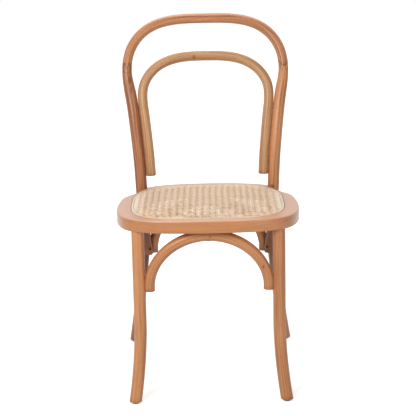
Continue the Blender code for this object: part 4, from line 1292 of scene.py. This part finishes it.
def woven_height(kind, x, y, sign):
    """Return a strand's height: free in the opening, pressed flatter over the lip."""
    if kind == "upright":
        wave = (CROSS_TILT - UPRIGHT_WAVE * sign) * crossing_wave(y, "cross")
    elif kind == "cross":
        wave = -sign * (CROSS_TILT + CROSS_WAVE * crossing_wave(x, "upright"))
    else:
        wave = SLANT_WAVE * sign * slant_wave(x)
    on_lip = LIP_TOP + THICKNESSES[kind] / 2 + LIP_PRESS * (wave + SLANT_WAVE)
    return np.where(inside_cane(x, y, GROOVE_WIDTH + LIP_WIDTH), WEB_HEIGHT + wave, on_lip)


# %% Lay the strands
def lay_family(name, kind):
    routes = family_routes(kind)
    piece = into_object(name, straight_strands(kind, [length for _, _, length, _ in routes]))
    mesh = piece.data
    straight = vertex_places(mesh)
    lanes = np.clip(np.rint(straight[:, 0]).astype(int), 0, len(routes) - 1)
    start, direction, sign = (np.array([route[i] for route in routes])[lanes] for i in (0, 1, 3))
    side = np.column_stack((direction[:, 1], -direction[:, 0]))
    centre = start + direction * straight[:, 2:]
    ground = centre + side * (straight[:, 0] - lanes)[:, None]
    height = woven_height(kind, centre[:, 0], centre[:, 1], sign) + straight[:, 1]
    mesh.vertices.foreach_set("co", (np.column_stack((ground, height)) + np.array(SHIFT)).ravel())
    store(mesh, "grain", straight)
    mesh.update()
    outwards = bmesh.new()
    outwards.from_mesh(mesh)
    bmesh.ops.recalc_face_normals(outwards, faces=outwards.faces)
    outwards.to_mesh(mesh)
    outwards.free()
    shade(piece)
    print(name, "has", len(routes), "strands and", 2 * len(mesh.polygons), "triangles")
    return piece


# %% [markdown]
# ## Cane finishes
#
# A strand of cane is straw-coloured, with fine lines along it. Now and then it has a joint,
# where the plant once bore a leaf, seen as a slightly darker spot. Strands differ in tone,
# because they come from different stems: the lane number that is stored with the grain gives
# each strand its own tone. Light and shade are painted in as well: painted shade darkens some
# short lengths between crossings near the front and the low parts of the strands, where they
# pass under others, and the uprights, which lie on top, get a darker copy of the cane. The back
# and the left and right edges are paler, a painted sheen, and the front turns tan.

# %% Mix the cane finishes
FRONT_TAN_WITHOUT_SHEEN, DASH_SHADE = (0.62, 0.40, 0.18), (0.24, 0.13, 0.06)
FLECK, RIM_SHEEN = (0.34, 0.13, 0.06), (0.80, 0.74, 0.66)


def cane_finish(name, pale, dark, dash_shade=0.0):
    cane = Finish(name)
    lane, along = cane.axes(cane.stored("grain", "Vector"), 0, 2)
    lane = lane.rounded()
    cell = cane.node("CombineXYZ", {}, {0: lane, 1: (along / CANE_PITCH).rounded()})
    shade_dash = cane.node("TexWhiteNoise", {"noise_dimensions": "2D"}, {"Vector": cell})
    shade_dash = cane.ramp(shade_dash, (0.50, 0.0), (0.75, 1.0))
    tone = cane.node("TexWhiteNoise", {"noise_dimensions": "1D"}, {"W": lane})
    lines, drift = cane.noise(2600.0, 14.0, 3.0, 0.6), cane.noise(9.0, 16.0, 2.0)
    joints = cane.ramp(cane.noise(1.0, 55.0, 0.0), (0.70, 0.0), (0.78, 1.0))
    depth = cane.ramp(tone * 0.45 + lines * 0.55 + drift * 0.55 - 0.35, (0.0, 0.0), (1.0, 1.0))
    colour = cane.blend(depth, pale, dark)
    colour = cane.blend(joints * 0.35, colour, toned(dark, 0.6))
    side, back, height = cane.axes(cane.here(), 0, 1, 2)
    # Painted sheen: the back stays paler and pinker, and the front turns tan.
    front = cane.ramp(back / 0.30 + 0.70, (0.0, 1.0), (0.8, 0.0))
    colour = cane.blend(front * 0.40, colour, FRONT_TAN_WITHOUT_SHEEN)
    # Painted shade: short dark dashes between crossings near the front.
    colour = cane.blend(front * shade_dash * dash_shade, colour, DASH_SHADE)
    fleck = mark(cane, (-0.0685, -0.0465, 0.4585), (0.010, 0.009, 0.01), lines)
    colour = cane.blend(fleck * 0.6, colour, FLECK)
    # Painted shade on the low parts of the strands, where they pass under others.
    low = cane.ramp((height - WEB_HEIGHT) / 0.002 + 0.5, (0.0, 1.0), (0.38, 0.0))
    colour = cane.blend(low * 0.7, colour, toned(dark, 0.45))
    # Painted sheen: the cane is lighter along its left and right edges.
    rim = cane.ramp(side.absolute() * 5.0, (0.76, 0.0), (0.90, 1.0))
    colour = cane.blend(rim * 0.5, colour, RIM_SHEEN)
    cane.set(
        Base_Color=colour, Roughness=0.42 + lines * 0.16, Normal=cane.bump(lines, 0.0002, 0.3),
        Coat_Weight=0.2, Coat_Roughness=0.3)
    return cane.material


CANE = cane_finish("straw-coloured cane", (0.80, 0.62, 0.45), (0.56, 0.38, 0.22), dash_shade=0.75)
# A darker copy of the cane for the uprights, which lie on top in more light: painted shade that
# evens them with the strands below.
CANE_UPRIGHT = cane_finish("cane of the uprights, painted darker against their light", (0.62, 0.46, 0.31), (0.42, 0.28, 0.16))
STRIP = cane_finish("pale cane strip", (0.72, 0.56, 0.40), (0.54, 0.37, 0.22))
for family_name, family_kind, family_finish in (
        ("cane_uprights", "upright", CANE_UPRIGHT), ("cane_cross_strands", "cross", CANE),
        ("cane_slants_right", "slant_right", CANE), ("cane_slants_left", "slant_left", CANE)):
    dress(lay_family(family_name, family_kind), "cane_web", family_finish)

# %% [markdown]
# ## Cane strip
#
# The web's edge is pushed down into the groove with glue, and a strip of cane is hammered in
# on top of it. The strip has a rounded back that stands a little proud. It is lofted like the
# ring.

# %% Make the cane strip
def make_strip():
    bottom, top = SEAT_HEIGHT - GROOVE_DEPTH + GAP, SEAT_HEIGHT + STRIP_PROUD
    half, shoulder = STRIP_WIDTH / 2, SEAT_HEIGHT - 0.0006
    rows = [(cane_line(GAP), bottom)]
    for angle in np.linspace(0.0, math.pi, 11):
        across, rise = math.cos(angle), math.sin(angle) ** 0.8
        rows.append((cane_line(GAP + half * (1 - across)), shoulder + (top - shoulder) * rise))
    rows.append((cane_line(GAP + STRIP_WIDTH), bottom))
    strip = into_object("cane_strip", loft(rows))
    shade(strip)
    line = np.column_stack((cane_line(GAP + half), np.full(LOOP_POINTS, shoulder)))
    note_grain(strip, line, UP_FACING, 0.0, closed=True)
    dress(strip, "cane_strip", STRIP)
    return strip


CANE_STRIP = make_strip()
print("cane strip:", len(CANE_STRIP.data.polygons), "faces")

# %% [markdown]
# ## Glides
#
# Under each foot a plastic glide is driven in on a pin. It is a spun profile with a rounded
# rim.

# %% Make the glides
def make_glide(name, foot):
    radius, thickness, edge, pin = 0.0095, 0.0045, 0.0012, 0.0015
    top = FOOT_PLANE + 0.014
    profile = [(0.0, top), (pin, top - pin), (pin, thickness), (radius - edge / 2, thickness),
               (radius, thickness - edge / 2)]
    profile += [(radius - step_in, edge - step_up) for step_in, step_up in quarter(edge)]
    shape = spun(profile + [(0.0, 0.0)], 40)
    bmesh.ops.translate(shape, verts=shape.verts, vec=(foot[0], foot[1], 0.0))
    glide = into_object(name, shape)
    shade(glide)
    dress(glide, name, GLIDE_PLASTIC)


for side_name, side_sign in SIDES:
    make_glide(f"glide_front_{side_name}", mirrored(front_leg_point(FOOT_PLANE), side_sign))
    make_glide(f"glide_rear_{side_name}", mirrored(post_point(FOOT_PLANE), side_sign))
discard({hole for holes in HOLES.values() for hole in holes} | set(COPES.values()))

# %% [markdown]
# ## Floor and light
#
# The floor and the world look white to the camera and in reflections, as a studio sweep does,
# but they light the chair no more than a pale room would. The floor keeps the chair's soft
# shadow, because its own shading stays under the added white.

# %% Floor
def seen_directly(finish):
    """Return 1 for rays from the camera and for reflections, 0 for the rays that light."""
    camera, glossy, through = (finish.node("LightPath", {}, {}, f"Is {kind} Ray")
                               for kind in ("Camera", "Glossy", "Transmission"))
    return (camera + glossy + through).clamped()


def make_floor():
    shape = bmesh.new()
    bmesh.ops.create_grid(shape, x_segments=2, y_segments=2, size=7.0)
    floor, paint = into_object("floor", shape, (0, 0, 0)), Finish("pale floor")
    far = paint.vector("LENGTH", paint.here())
    added = paint.ramp((far - 0.6) / 1.4, (0.0, 0.66), (1.0, 1.0))
    paint.set(
        Base_Color=(0.60, 0.595, 0.59, 1.0), Roughness=0.9, Specular_IOR_Level=0.0,
        Emission_Color=paint.blend(seen_directly(paint), (0.0, 0.0, 0.0), added),
        Emission_Strength=1.0)
    floor.data.materials.append(paint.material)


make_floor()
print("the floor is laid")

# %% World and lamps
ROOM_LIGHT = 0.3


def make_world():
    world = bpy.data.worlds.new("white studio")
    bpy.context.scene.world = world
    sky = Finish("white studio", world)
    strength = seen_directly(sky) * (1.0 - ROOM_LIGHT) + ROOM_LIGHT
    sky.set(Color=(1.0, 1.0, 1.0, 1.0), Strength=strength)


def add_lamp(name, place, aim_height, size, power):
    lamp = bpy.data.lights.new(name, "AREA")
    lamp.shape, lamp.size, lamp.energy = "SQUARE", size, power
    holder = into_scene(name, lamp)
    holder.location = place
    aim = Vector((0, 0, aim_height)) - Vector(place)
    holder.rotation_euler = aim.to_track_quat("-Z", "Y").to_euler()


make_world()
add_lamp("key softbox", (-1.3, -2.6, 2.1), 0.5, 1.3, 76.0)
add_lamp("fill softbox", (1.6, -2.6, 1.0), 0.5, 1.2, 16.0)
add_lamp("top softbox", (-0.2, 0.8, 2.8), 0.4, 1.8, 38.0)
print("lamps:", [lamp.name for lamp in bpy.data.lights])

# %% [markdown]
# ## Camera
#
# The camera stands about three metres in front of the chair, at chest height, and looks a
# little down with a long lens. It is turned by about a degree about its own axis, as the
# photograph was.

# %% Camera
CAMERA_PLACE, DIP, ROLL = (0.0004, -3.03975, 1.1855), 0.2438, 0.0191
LENS, SENSOR_WIDTH = 107.96, 36.0


def make_camera():
    camera = bpy.data.cameras.new("camera")
    camera.lens, camera.sensor_width = LENS, SENSOR_WIDTH
    holder = into_scene("camera", camera)
    tilt = Matrix.Rotation(math.pi / 2 - DIP, 4, "X") @ Matrix.Rotation(-ROLL, 4, "Z")
    holder.matrix_world = Matrix.Translation(CAMERA_PLACE) @ tilt
    bpy.context.scene.camera = holder


make_camera()
bpy.context.scene.view_settings.view_transform = "Standard"
print("camera at", [round(value, 3) for value in bpy.context.scene.camera.location])
